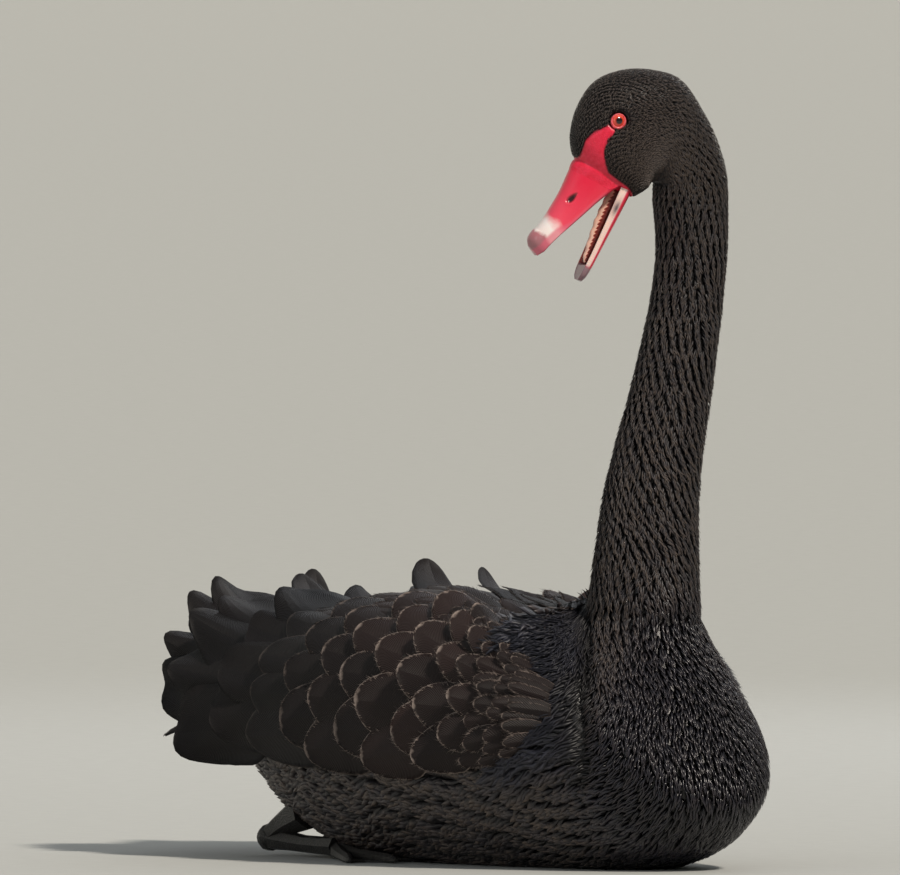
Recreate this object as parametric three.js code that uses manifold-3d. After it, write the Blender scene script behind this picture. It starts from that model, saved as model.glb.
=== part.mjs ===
// A life-size black swan, resting on its belly as it floats, with its neck upright and its head turned to its right, bill open.
// Millimetres. +X runs forward to the breast, +Y to the swan's left, +Z up. The origin lies on the flat of the belly, at floor level.
import * as THREE from "three";
import { mergeVertices } from "three/addons/utils/BufferGeometryUtils.js";
import Module from "manifold-3d";

const wasm = await Module();
wasm.setup();

// Driving dimensions of the body
const GAP = 0.3;
const FLOOR = 0;
const BELLY_SINK = 9; // how far the round of the belly is pressed flat
const BACK_HEIGHT = 189;
const BREAST_LENGTH = 213; // from the back of the neck's root to the foremost breast
const TORSO_HALF_WIDTH = 116;
const NECK_ROOT = [150, 200]; // x and z where the back turns up into the neck
const NECK_CUT = [212, 305, 400, 488]; // heights that part torso, neck lengths and head
const NECK_TURN = -110; // degrees that the head faces away from the breast

// Driving dimensions of the head
const HEAD_CENTRE = [199.8, -2, 544.7];
const HEAD_PITCH = -40;
const EYE = { forward: 16.2, side: 20.4, up: 21, ball: 6.6 };
const LID = { forward: 15.6, side: 25.5, ring: 6.3, wire: 1.3, tilt: 4, toe: -12 };
const BILL_ROOT = { culmen: [53.6, 16], chin: [38.2, -31.7] };
const GAPE_ANGLE = 23;

// Grids of the flesh
const AROUND = 24;
const RINGS_PER_STATION = 2;
const BACK_STATIONS = 9; // up to here each span is one ring long

const rad = (degrees) => (degrees * Math.PI) / 180;
const lerp = (a, b, t) => a + (b - a) * t;
const clamp = (x, lo, hi) => Math.min(hi, Math.max(lo, x));
const smooth = (x) => {
  const t = clamp(x, 0, 1);
  return t * t * (3 - 2 * t);
};
const power = (x, n) => Math.sign(x) * Math.abs(x) ** n;

// Cubic curve through values at knots, with the slope at each knot taken from its neighbours
function curve(knots, values) {
  const last = knots.length - 1;
  const slope = values.map((value, i) => {
    const a = Math.max(0, i - 1);
    const b = Math.min(last, i + 1);
    return (values[b] - values[a]) / (knots[b] - knots[a]);
  });
  return (x) => {
    let i = 0;
    while (i < last - 1 && x > knots[i + 1]) i += 1;
    const span = knots[i + 1] - knots[i];
    const t = clamp((x - knots[i]) / span, 0, 1);
    const t2 = t * t;
    const t3 = t2 * t;
    return (
      (2 * t3 - 3 * t2 + 1) * values[i] +
      (t3 - 2 * t2 + t) * span * slope[i] +
      (3 * t2 - 2 * t3) * values[i + 1] +
      (t3 - t2) * span * slope[i + 1]
    );
  };
}

// Stations of the flesh. Each is a cross-section: its centre, the pitch and yaw of its plane's normal,
// its reach up the back side, down the belly side and out to each side, and how square it is.
const station = (centre, pitch, yaw, up, down, side, square) => ({
  x: centre[0],
  y: centre[1],
  z: centre[2],
  pitch,
  yaw,
  up,
  down,
  side,
  square,
});

const torsoAt = (x, top, bottom, widest, side) =>
  station([x, 0, widest], 0, 0, top - widest, widest - bottom, side, 2.3);

// A section of the breast, fanned about the neck's root: angle 0 points down to the belly, 90 forward to the neck's front
function breastAt(angle, inner, outer, side) {
  const middle = (inner + outer) / 2;
  const half = (outer - inner) / 2;
  const x = NECK_ROOT[0] + Math.sin(rad(angle)) * middle;
  const z = NECK_ROOT[1] - Math.cos(rad(angle)) * middle;
  return station([x, 0, z], angle, 0, half, half, side, lerp(2.3, 2, angle / 90));
}

const neckAt = (x, y, z, radius, turned) =>
  station([x, y, z], 90, NECK_TURN * turned, radius, radius, radius, 2);

// A section of the head between a throat point and a crown point, both as forward and up from the head's centre
function headAt(throat, crown, side) {
  const forward = crown[0] - throat[0];
  const up = crown[1] - throat[1];
  const half = Math.hypot(forward, up) / 2;
  const middle = (throat[0] + crown[0]) / 2;
  const centre = [
    HEAD_CENTRE[0] + middle * Math.cos(rad(NECK_TURN)),
    HEAD_CENTRE[1] + middle * Math.sin(rad(NECK_TURN)),
    HEAD_CENTRE[2] + (throat[1] + crown[1]) / 2,
  ];
  const pitch = (Math.atan2(-forward, up) * 180) / Math.PI;
  return station(centre, pitch, NECK_TURN, half, half, side, 2.1);
}

const STATIONS = [
  torsoAt(-262, 120, 112, 116, 3),
  torsoAt(-254, 137, 96, 117, 22),
  torsoAt(-232, 150, 74, 112, 42),
  torsoAt(-195, 162, 46, 106, 66),
  torsoAt(-140, 173, 16, 101, 91),
  torsoAt(-75, 182, -4, 98, 107),
  torsoAt(-5, BACK_HEIGHT, FLOOR - BELLY_SINK, 96, TORSO_HALF_WIDTH),
  torsoAt(65, BACK_HEIGHT, FLOOR - BELLY_SINK, 95, TORSO_HALF_WIDTH),
  torsoAt(115, BACK_HEIGHT, FLOOR - BELLY_SINK, 94, TORSO_HALF_WIDTH - 4),
  breastAt(0, 8, 206, 109),
  breastAt(17, 6, 211, 103),
  breastAt(33, 5, 217, 90),
  breastAt(46, 5, BREAST_LENGTH, 72),
  breastAt(57, 5, 157, 54.5),
  breastAt(68, 6, 115, 45.5),
  breastAt(79, 8, 96, 41.5),
  breastAt(90, 9, 93, 40.5),
  neckAt(201, 1.8, 228, 38.5, 0.06),
  neckAt(202, 5.1, 271, 35.2, 0.25),
  neckAt(204.1, 10.9, 308, 32.6, 0.45),
  neckAt(206.9, 18.6, 345, 30.3, 0.65),
  neckAt(209.5, 25.2, 382, 28.2, 0.82),
  neckAt(211.7, 31.2, 419, 26.6, 0.93),
  neckAt(213, 34.6, 456, 26.2, 1),
  headAt([-10.5, -53], [-65.3, -53], 26.4),
  headAt([-9.5, -40.7], [-64.5, -36.5], 26.6),
  headAt([-8.5, -39.7], [-58.3, -12.5], 27),
  headAt([-7.8, -39.7], [-45.7, 13.3], 27.6),
  headAt([-7, -40.2], [-28.2, 36.1], 28.2),
  headAt([-6, -41], [-7.8, 42.6], 28.6),
  headAt([-5, -42], [14.5, 42.5], 28.6),
  headAt([-3.5, -44], [35.2, 34.4], 28),
  headAt([-1.5, -46], [48.6, 16], 26.4),
  headAt([2, -48.2], [54, -3.5], 23.4),
  headAt([5.4, -50], [53.6, -14.5], 20),
  headAt([8.2, -51.2], [51.6, -22.6], 16.6),
];

const middleOf = (s) => new THREE.Vector3(s.x, s.y, s.z);
function axesOf(s) {
  const p = rad(s.pitch);
  const w = rad(s.yaw);
  return {
    back: new THREE.Vector3(-Math.sin(p) * Math.cos(w), -Math.sin(p) * Math.sin(w), Math.cos(p)),
    left: new THREE.Vector3(-Math.sin(w), Math.cos(w), 0),
  };
}

// Place along the flesh: the mean distance that the middle, back and belly of one section move to the next
const PLACE = [0];
for (let i = 1; i < STATIONS.length; i += 1) {
  const [a, b] = [STATIONS[i - 1], STATIONS[i]];
  const ends = [a, b].map((s) => {
    const { back } = axesOf(s);
    return [
      middleOf(s),
      middleOf(s).addScaledVector(back, s.up),
      middleOf(s).addScaledVector(back, -s.down),
    ];
  });
  const moved = ends[0].map((p, k) => p.distanceTo(ends[1][k]));
  PLACE.push(PLACE[i - 1] + (moved[0] + moved[1] + moved[2]) / 3);
}
const FIELDS = ["x", "y", "z", "pitch", "yaw", "up", "down", "side", "square"];
const CURVES = Object.fromEntries(
  FIELDS.map((name) => [
    name,
    curve(
      PLACE,
      STATIONS.map((s) => s[name]),
    ),
  ]),
);

// A point of the flesh at a place along it, and at an angle round it from the back, positive to the left
function fleshPoint(place, angle, grow = 0) {
  const s = Object.fromEntries(FIELDS.map((name) => [name, CURVES[name](place)]));
  const { back, left } = axesOf(s);
  const reach = Math.cos(angle) >= 0 ? s.up + grow : s.down + grow;
  const p = middleOf(s)
    .addScaledVector(back, reach * power(Math.cos(angle), 2 / s.square))
    .addScaledVector(left, (s.side + grow) * power(Math.sin(angle), 2 / s.square));
  p.z = Math.max(p.z, FLOOR - grow);
  return p;
}

// Solids
function solidOf(geometry) {
  const g = geometry.index ? geometry.toNonIndexed() : geometry;
  const bare = new THREE.BufferGeometry().setAttribute("position", g.getAttribute("position"));
  const merged = mergeVertices(bare, 1e-4);
  return new wasm.Manifold(
    new wasm.Mesh({
      numProp: 3,
      vertProperties: new Float32Array(merged.attributes.position.array),
      triVerts: new Uint32Array(merged.index.array),
    }),
  );
}

function geometryOf(solid) {
  const mesh = solid.getMesh();
  const xyz = new Float32Array(mesh.numVert * 3);
  for (let i = 0; i < mesh.numVert; i += 1) {
    xyz.set(mesh.vertProperties.subarray(i * mesh.numProp, i * mesh.numProp + 3), i * 3);
  }
  return new THREE.BufferGeometry()
    .setAttribute("position", new THREE.BufferAttribute(xyz, 3))
    .setIndex(new THREE.BufferAttribute(new Uint32Array(mesh.triVerts), 1));
}

const joined = (pieces) => pieces.reduce((whole, piece) => whole.add(piece));
function largest(solid) {
  return solid.decompose().reduce((best, s) => (s.volume() > best.volume() ? s : best));
}

function trianglesOf(points, faces) {
  const xyz = new Float32Array(faces.length * 9);
  faces.forEach((face, i) => {
    face.forEach((k, j) => xyz.set(points[k].toArray(), i * 9 + j * 3));
  });
  return new THREE.BufferGeometry().setAttribute("position", new THREE.BufferAttribute(xyz, 3));
}

// A closed tube of rings, each a list of points, with a fan of triangles over each end
function ringsSolid(rings) {
  const n = rings[0].length;
  const points = rings.flat();
  const faces = [];
  for (let r = 0; r + 1 < rings.length; r += 1) {
    for (let k = 0; k < n; k += 1) {
      const [a, b] = [r * n + k, r * n + ((k + 1) % n)];
      faces.push([a, b, b + n], [a, b + n, a + n]);
    }
  }
  for (const end of [0, rings.length - 1]) {
    const middle = rings[end]
      .reduce((sum, p) => sum.clone().add(p), new THREE.Vector3())
      .divideScalar(n);
    points.push(middle);
    for (let k = 0; k < n; k += 1) {
      const [a, b] = [end * n + k, end * n + ((k + 1) % n)];
      faces.push(end === 0 ? [points.length - 1, b, a] : [points.length - 1, a, b]);
    }
  }
  const made = solidOf(trianglesOf(points, faces));
  if (made.volume() >= 0) return made;
  return solidOf(
    trianglesOf(
      points,
      faces.map(([a, b, c]) => [a, c, b]),
    ),
  );
}

// A closed slab between two sheets of the same grid, split into triangles alike on both
function slabSolid(rows, columns, upper, lower) {
  const wide = columns + 1;
  const sheet = (point) => {
    const list = [];
    for (let r = 0; r <= rows; r += 1) {
      for (let c = 0; c <= columns; c += 1) list.push(point(r / rows, c / columns));
    }
    return list;
  };
  const points = [...sheet(upper), ...sheet(lower)];
  const under = wide * (rows + 1);
  const faces = [];
  const quad = (a, b, c, d) => faces.push([a, b, c], [a, c, d]);
  for (let r = 0; r < rows; r += 1) {
    for (let c = 0; c < columns; c += 1) {
      const a = r * wide + c;
      quad(a, a + 1, a + wide + 1, a + wide);
      faces.push([under + a, under + a + wide + 1, under + a + 1]);
      faces.push([under + a, under + a + wide, under + a + wide + 1]);
    }
  }
  const rim = [];
  for (let c = 0; c < columns; c += 1) rim.push(c);
  for (let r = 0; r < rows; r += 1) rim.push(r * wide + columns);
  for (let c = columns; c > 0; c -= 1) rim.push(rows * wide + c);
  for (let r = rows; r > 0; r -= 1) rim.push(r * wide);
  rim.forEach((a, i) => {
    const b = rim[(i + 1) % rim.length];
    quad(b, a, under + a, under + b);
  });
  const made = solidOf(trianglesOf(points, faces));
  if (made.volume() >= 0) return made;
  return solidOf(
    trianglesOf(
      points,
      faces.map(([a, b, c]) => [a, c, b]),
    ),
  );
}

// Flesh: one skin from rump to face, parted by level cuts up the neck
function fleshSolid(grow) {
  const places = [];
  for (let i = 0; i + 1 < PLACE.length; i += 1) {
    const parts = i < BACK_STATIONS ? 1 : RINGS_PER_STATION;
    for (let k = 0; k < parts; k += 1) places.push(lerp(PLACE[i], PLACE[i + 1], k / parts));
  }
  places.push(PLACE.at(-1));
  const ringAt = (place) => {
    const ring = [];
    for (let a = 0; a < AROUND; a += 1) {
      ring.push(fleshPoint(place, (2 * Math.PI * a) / AROUND, grow));
    }
    return ring;
  };
  return ringsSolid(places.map(ringAt));
}

const flesh = fleshSolid(0);
const SKIN_ROOM = GAP + 0.15; // flat facets of the skin bulge a little less than the skin they stand for
const fleshWithGap = fleshSolid(SKIN_ROOM);
const UP = [0, 0, 1];
const DOWN = [0, 0, -1];
const FORWARD = [1, 0, 0];
const BACKWARD = [-1, 0, 0];
const between = (solid, low, high) =>
  solid.trimByPlane(UP, low + GAP / 2).trimByPlane(DOWN, GAP / 2 - high);
const torso = largest(flesh.trimByPlane(DOWN, GAP / 2 - NECK_CUT[0]));
const neckLengths = {
  neck_lower: between(flesh, NECK_CUT[0], NECK_CUT[1]),
  neck_middle: between(flesh, NECK_CUT[1], NECK_CUT[2]),
  neck_upper: between(flesh, NECK_CUT[2], NECK_CUT[3]),
};

// The head's own frame: forward along the bill, left and up
const pitch = rad(HEAD_PITCH);
const yaw = rad(NECK_TURN);
const HEAD = {
  forward: new THREE.Vector3(
    Math.cos(pitch) * Math.cos(yaw),
    Math.cos(pitch) * Math.sin(yaw),
    Math.sin(pitch),
  ),
  left: new THREE.Vector3(-Math.sin(yaw), Math.cos(yaw), 0),
};
HEAD.up = HEAD.forward.clone().cross(HEAD.left);
const headPoint = (forward, side, up) =>
  new THREE.Vector3(...HEAD_CENTRE)
    .addScaledVector(HEAD.forward, forward)
    .addScaledVector(HEAD.left, side)
    .addScaledVector(HEAD.up, up);
const headMatrix = new THREE.Matrix4()
  .makeBasis(HEAD.forward, HEAD.left, HEAD.up)
  .setPosition(new THREE.Vector3(...HEAD_CENTRE));
const inHead = (geometry) => solidOf(geometry.clone().applyMatrix4(headMatrix));

// Eyes: a ball in a socket behind a raised ring of lid
const eyeGeometry = (side, radius) =>
  new THREE.SphereGeometry(radius, 14, 10)
    .rotateX(Math.PI / 2)
    .translate(EYE.forward, side * EYE.side, EYE.up);
const LID_PROFILE_SIDES = 5;
const lidProfile = [];
for (let k = 0; k <= LID_PROFILE_SIDES; k += 1) {
  const a = (2 * Math.PI * k) / LID_PROFILE_SIDES;
  lidProfile.push(new THREE.Vector2(LID.ring + LID.wire * Math.cos(a), LID.wire * Math.sin(a)));
}
function lidGeometry(side) {
  return new THREE.LatheGeometry(lidProfile, 14)
    .rotateX(rad(LID.tilt) * side)
    .rotateZ(rad(LID.toe) * side)
    .translate(LID.forward, side * LID.side, EYE.up);
}

// The head stops at the plane that the bill grows from
const rootAlong = new THREE.Vector2(
  BILL_ROOT.culmen[0] - BILL_ROOT.chin[0],
  BILL_ROOT.culmen[1] - BILL_ROOT.chin[1],
).normalize();
const rootNormal = new THREE.Vector3()
  .addScaledVector(HEAD.forward, rootAlong.y)
  .addScaledVector(HEAD.up, -rootAlong.x);
const rootOffset = rootNormal.dot(headPoint(BILL_ROOT.chin[0] - 1, 0, BILL_ROOT.chin[1]));
const billSide = (solid) => solid.trimByPlane(rootNormal.toArray(), rootOffset + GAP / 2);
const skullSide = (solid) =>
  solid.trimByPlane(rootNormal.clone().negate().toArray(), GAP / 2 - rootOffset);

let head = skullSide(flesh.trimByPlane(UP, NECK_CUT[3] + GAP / 2));
const eyes = {};
for (const [name, side] of [
  ["eye_left", 1],
  ["eye_right", -1],
]) {
  head = head.add(inHead(lidGeometry(side)));
  head = head.subtract(inHead(eyeGeometry(side, EYE.ball + GAP)));
  eyes[name] = inHead(eyeGeometry(side, EYE.ball));
}
head = largest(head);

// Bill: each half is a run of sections, given as forward, top, edge and half-width in the head's frame
const UPPER_BILL = [
  [34, 17, -19.5, 15.5],
  [46, 16.6, -18, 15.2],
  [52, 15.9, -17.5, 15],
  [58, 14.2, -17.2, 14.4],
  [66, 10.8, -17, 13.6],
  [72, 7.9, -17.1, 13.1],
  [80, 4.5, -17.2, 12.7],
  [90, 1.2, -17.2, 12.4],
  [101, -2.2, -17.2, 12.3],
  [109, -3.6, -17.6, 11.6],
  [113, -4, -18.1, 10.7],
  [116.8, -4.8, -18.9, 9.2],
  [119.8, -6.4, -19.6, 6.8],
  [122.4, -10, -19.8, 3.2],
];
const LOWER_BILL = [
  [-6, 5.6, -6.6, 14.2],
  [8, 5, -6.2, 13.8],
  [22, 4.2, -5.8, 12.9],
  [38, 3.4, -5.2, 11.8],
  [52, 2.8, -4.8, 11],
  [60, 2.7, -4.6, 10.4],
  [66, 2.5, -4.3, 9.2],
  [70.4, 2.2, -3.7, 7.2],
  [73.6, 1.6, -2.6, 4],
];
const TONGUE = [
  [2, 8.6, -2.4, 8.6],
  [14, 9.6, -2.4, 9],
  [30, 9, -2, 8],
  [44, 7, -1.8, 6.8],
  [55, 5, -1.2, 5],
  [60, 3.2, -0.6, 2.4],
];
const BILL_AROUND = 16;
const PALATE = 3.4; // how far the roof of the mouth is hollowed
const TROUGH_WALL = 2.2;
const TROUGH_SECTIONS = 6; // the hollow of the lower half ends behind its nail
const CROWN = { upper: 0.85, lower: 0.7 }; // how full each half is between its edge and its ridge

// Rings of a bill half: a crowned top and a bottom that is hollowed by a share of its own depth
function billRings(sections, hollowBelow, crown, place) {
  const fields = [1, 2, 3].map((k) =>
    curve(
      sections.map((s) => s[0]),
      sections.map((s) => s[k]),
    ),
  );
  const rings = [];
  for (const [forward] of sections) {
    const [top, edge, half] = fields.map((f) => f(forward));
    const ring = [];
    for (let a = 0; a < BILL_AROUND; a += 1) {
      const angle = (2 * Math.PI * a) / BILL_AROUND;
      const side = half * power(Math.cos(angle), 0.9);
      const rise = Math.sin(angle);
      const hollow = hollowBelow * (1 - (side / half) ** 2) * Math.min(1, half / 12);
      const up = rise >= 0 ? edge + (top - edge) * rise ** crown : edge + hollow * -rise;
      ring.push(place(forward, side, rise < 0 ? up : Math.max(up, edge)));
    }
    rings.push(ring);
  }
  return rings;
}

const NOSTRIL = { forward: 76.5, up: -2.2, halfLength: 4.4, halfWidth: 30, halfHeight: 1.5, slope: 12 };
const nostril = inHead(
  new THREE.SphereGeometry(1, 12, 8)
    .scale(NOSTRIL.halfLength, NOSTRIL.halfWidth, NOSTRIL.halfHeight)
    .rotateY(rad(NOSTRIL.slope))
    .translate(NOSTRIL.forward, 0, NOSTRIL.up),
);
const upperBill = largest(
  billSide(ringsSolid(billRings(UPPER_BILL, PALATE, CROWN.upper, headPoint))).subtract(nostril),
);

// The lower half hangs open about the corner of the mouth
const HINGE = [41.5, -25.2];
const open = rad(GAPE_ANGLE);
const lowerPoint = (forward, side, up) =>
  headPoint(
    HINGE[0] + forward * Math.cos(open) + up * Math.sin(open),
    side,
    HINGE[1] - forward * Math.sin(open) + up * Math.cos(open),
  );
const keel = (sections) =>
  ringsSolid(billRings(sections, 0, CROWN.lower, (f, side, up) => lowerPoint(f, side, -up)));
// The lower half is a bill section upside down, grown by `room`
const lowerSections = (room) =>
  LOWER_BILL.map(([f, top, bottom, half]) => [f, -bottom + room, -top - room, half + room]);
const troughSections = (room) =>
  LOWER_BILL.slice(0, TROUGH_SECTIONS).map(([f, top, bottom, half]) => [
    f,
    -bottom - TROUGH_WALL - room,
    -top - 3,
    half - TROUGH_WALL - room,
  ]);
const lowerBill = largest(billSide(keel(lowerSections(0))).subtract(keel(troughSections(0))));
const tongueBody = ringsSolid(billRings(TONGUE, 0, CROWN.lower, lowerPoint));
const lowerWithGap = keel(lowerSections(GAP)).subtract(keel(troughSections(GAP)));
const tongue = largest(billSide(tongueBody).subtract(lowerWithGap));

// Folded wings: the wrap is the outer surface that their feathers lie on
const WRAP_X = [-345, -315, -280, -240, -190, -120, -40, 40, 110, 165, 205, 240];
const WRAP = {
  centre: curve(WRAP_X, [104, 106, 108, 109, 109, 108, 106, 105, 104, 102, 100, 98]),
  top: curve(WRAP_X, [128, 143, 160, 173, 182, 187, 198, 202, 195, 186, 180, 168]),
  side: curve(WRAP_X, [44, 54, 68, 88, 107, 122, 130, 131, 127, 120, 111, 99]),
};
const WRAP_DOWN = 92;
const WRAP_SQUARE = 2.25;
function wrapPoint(x, angle, out, hand) {
  const centre = WRAP.centre(x);
  const reach = Math.cos(angle) >= 0 ? WRAP.top(x) - centre : WRAP_DOWN * (WRAP.side(x) / 131);
  return new THREE.Vector3(
    x,
    hand * (WRAP.side(x) + out) * power(Math.sin(angle), 2 / WRAP_SQUARE),
    centre + (reach + out) * power(Math.cos(angle), 2 / WRAP_SQUARE),
  );
}
const WRAP_GIRTH = 118; // millimetres of surface for each radian of angle

// The wing's own body, a shell that thins to its edges
const WING_SPAN = { back: -262, top: 5, bottom: 103 };
const WING_FRONT = { left: 172, right: 206 }; // the left wing is held a little further back
const FRONT_SWEEP = 84; // how far the wing's front edge falls back from its foremost point to the back's ridge
const frontLag = (angle) => FRONT_SWEEP * ((angle - 68) / 63) ** 2;
const CORE_GRID = { along: 11, round: 5 };
function wingCore(hand, front) {
  const at = (along, round) => {
    const angle = lerp(WING_SPAN.top, WING_SPAN.bottom, round);
    return [lerp(front - frontLag(angle), WING_SPAN.back, along), rad(angle)];
  };
  const edge = (along, round) =>
    Math.min(1, along / 0.1, (1 - along) / 0.12, round / 0.06, (1 - round) / 0.12);
  return slabSolid(
    CORE_GRID.along,
    CORE_GRID.round,
    (along, round) => {
      const [x, angle] = at(along, round);
      return wrapPoint(x, angle, lerp(-11, -3.5, smooth(edge(along, round))), hand);
    },
    (along, round) => {
      const [x, angle] = at(along, round);
      const deep = lerp(-12.5, -26, smooth((x - WING_SPAN.back) / 40));
      return wrapPoint(x, angle, deep, hand);
    },
  );
}

const VANE_START = 0.28; // the quill end before this lies buried
// A feather vane: root place, length, width and the lie of its line. It sinks into the wing at its root,
// rises off it along its length, and its end may be round or cut square and curled or waved.
function vane(f, hand) {
  const place = (t, across) => {
    const end = f.square ? 0.16 : 0.3;
    const taper = t > 1 - end ? Math.sqrt(Math.max(0, 1 - ((t - 1 + end) / end) ** 2)) : 1;
    const shape = lerp(0.55, 1, smooth(t / 0.45)) * Math.max(taper, f.square ? 0.62 : 0.22);
    const down = f.length * t * Math.sin(rad(f.slant)) + across * (f.width / 2) * shape;
    const x = f.x - f.length * t * Math.cos(rad(f.slant)) + f.bow * across * across * t;
    const lie = lerp(f.sink, f.rise, t) + f.curl * t ** 4 + f.tilt * across;
    const wave = f.wave * t ** 3 * Math.sin(Math.PI * (1.5 * across + f.phase));
    return { x, angle: rad(f.angle) + down / WRAP_GIRTH, out: lie + wave - 1.6 * across * across };
  };
  const sheet = (drop) => (u, w) => {
    const p = place(lerp(VANE_START, 1, u), 2 * w - 1);
    return wrapPoint(p.x, Math.max(p.angle, rad(1)), p.out - drop, hand);
  };
  return slabSolid(f.steps, 2, sheet(0), sheet(f.thick));
}

// Tiers from the shoulder to the tail, then along the back: root, length, width, first and last angle, count,
// how far the tier follows the swept front, how its ends ruffle, and how far its lowest feather is drawn forward
const TIERS = [
  { x: 212, length: 60, width: 46, from: 38, to: 92, count: 4, swept: 1 },
  { x: 172, length: 66, width: 50, from: 38, to: 95, count: 4, swept: 0.7 },
  { x: 124, length: 72, width: 54, from: 39, to: 97, count: 4, swept: 0.3 },
  { x: 72, length: 82, width: 56, from: 38, to: 98, count: 4 },
  { x: 16, length: 94, width: 60, from: 38, to: 98, count: 4 },
  { x: -44, length: 104, width: 66, from: 36, to: 97, count: 4, ruffle: 8 },
  { x: -104, length: 108, width: 68, from: 25, to: 96, count: 4, ruffle: 12, drawn: 6 },
  { x: -160, length: 100, width: 66, from: 21, to: 92, count: 4, ruffle: 14, drawn: 14 },
  { x: 152, length: 100, width: 44, from: 14, to: 31, count: 2 },
  { x: 78, length: 112, width: 44, from: 13, to: 29, count: 2 },
  { x: 0, length: 116, width: 46, from: 12, to: 27, count: 2 },
];
const STEPS_ALONG = 3;

// A repeatable draw between -1 and 1
function drawer(seed) {
  let state = seed;
  return () => {
    state = (state * 16807) % 2147483647;
    return (2 * state) / 2147483647 - 1;
  };
}

function tierVanes(hand, front) {
  const draw = drawer(hand > 0 ? 4021 : 911);
  const list = [];
  TIERS.filter((tier) => tier.x - 8 < front).forEach((tier) => {
    for (let k = 0; k < tier.count; k += 1) {
      const share = k / (tier.count - 1);
      const ruffle = tier.ruffle ?? 0;
      const angle = lerp(tier.from, tier.to, share) + draw();
      const moved = (tier.drawn ?? 0) * share ** 2 - (tier.swept ?? 0) * frontLag(angle);
      list.push({
        x: tier.x + 5 * draw() + moved,
        angle,
        length: tier.length * (1 + 0.05 * draw()),
        width: tier.width * (1 + 0.04 * draw()),
        slant: lerp(-2, 7, share) + draw(),
        sink: -8,
        rise: 2.5 + ruffle * 0.35,
        curl: ruffle ? ruffle * (1 + 0.4 * draw()) : 1.5 + draw(),
        wave: ruffle * 0.4,
        phase: draw(),
        tilt: 1.1,
        bow: ruffle ? 7 : 4,
        square: ruffle > 0,
        thick: 1.1,
        steps: STEPS_ALONG,
      });
    }
  });
  return list;
}

// Ends that stand up off the back, as the curled inner feathers of each wing do
const RAISED = {
  left: [
    { x: -30, angle: 18, length: 98, width: 44, curl: 30 },
    { x: -46, angle: 27, length: 92, width: 42, curl: 26 },
    { x: -150, angle: 14, length: 100, width: 48, curl: 34 },
    { x: -168, angle: 23, length: 104, width: 50, curl: 37 },
    { x: 22, angle: 20, length: 82, width: 26, curl: 16 },
  ],
  right: [
    { x: -128, angle: 30, length: 100, width: 58, curl: 16 },
    { x: -168, angle: 38, length: 96, width: 60, curl: 18 },
  ],
};
function wing(hand) {
  const own = hand > 0 ? RAISED.left : RAISED.right;
  const front = hand > 0 ? WING_FRONT.left : WING_FRONT.right;
  const raised = own.map((r) => ({
    ...r,
    slant: -2,
    sink: -8,
    rise: 3,
    wave: 0,
    phase: 0,
    tilt: 0.6,
    bow: 5,
    square: false,
    thick: 1.2,
    steps: STEPS_ALONG + 1,
  }));
  const vanes = [...tierVanes(hand, front), ...raised].map((f) => vane(f, hand));
  const whole = joined([wingCore(hand, front), ...vanes]);
  const ownSide = whole.trimByPlane([0, hand, 0], GAP);
  return largest(largest(ownSide).subtract(fleshWithGap));
}

// Tail: a short stem and a fan of overlapping vanes, laid level under the wings
const TAIL = { x: -236, z: 108, length: 90, count: 7, spread: 31, width: 30, thick: 1.2 };
function tailVane(k) {
  const share = k / (TAIL.count - 1) - 0.5;
  const turn = rad(2 * TAIL.spread * share);
  const length = TAIL.length * (1 - 0.5 * share * share);
  const layer = 1.5 * (0.5 - Math.abs(share)) * TAIL.count;
  const sheet = (drop) => (t, w) => {
    const across = 2 * w - 1;
    const half = (TAIL.width / 2) * lerp(0.6, 1, smooth(t / 0.5)) * (t > 0.99 ? 0.35 : 1);
    const along = length * t;
    const x = TAIL.x - along * Math.cos(turn) - across * half * Math.sin(turn);
    const y = 34 * share + along * Math.sin(turn) - across * half * Math.cos(turn);
    const z = TAIL.z + layer - 22 * t * t - 1.2 * across * across - drop;
    return new THREE.Vector3(x, y, z);
  };
  return slabSolid(4, 2, sheet(0), sheet(TAIL.thick));
}
// The stem's sections: x, half-width, half-height and height of the middle
const TAIL_STEM = [
  [-222, 30, 20, 112],
  [-240, 30, 17, 111],
  [-256, 27, 12, 110],
  [-268, 20, 7, 109],
  [-276, 12, 4, 108],
];
const STEM_SIDES = 12;
const tailStem = ringsSolid(
  TAIL_STEM.map(([x, half, high, z]) => {
    const ring = [];
    for (let a = 0; a < STEM_SIDES; a += 1) {
      const angle = (2 * Math.PI * a) / STEM_SIDES;
      ring.push(new THREE.Vector3(x, half * Math.cos(angle), z + high * Math.sin(angle)));
    }
    return ring;
  }),
);
const tailFan = [];
for (let k = 0; k < TAIL.count; k += 1) tailFan.push(tailVane(k));
const tail = largest(joined([tailStem, ...tailFan]).subtract(fleshWithGap));

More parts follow.
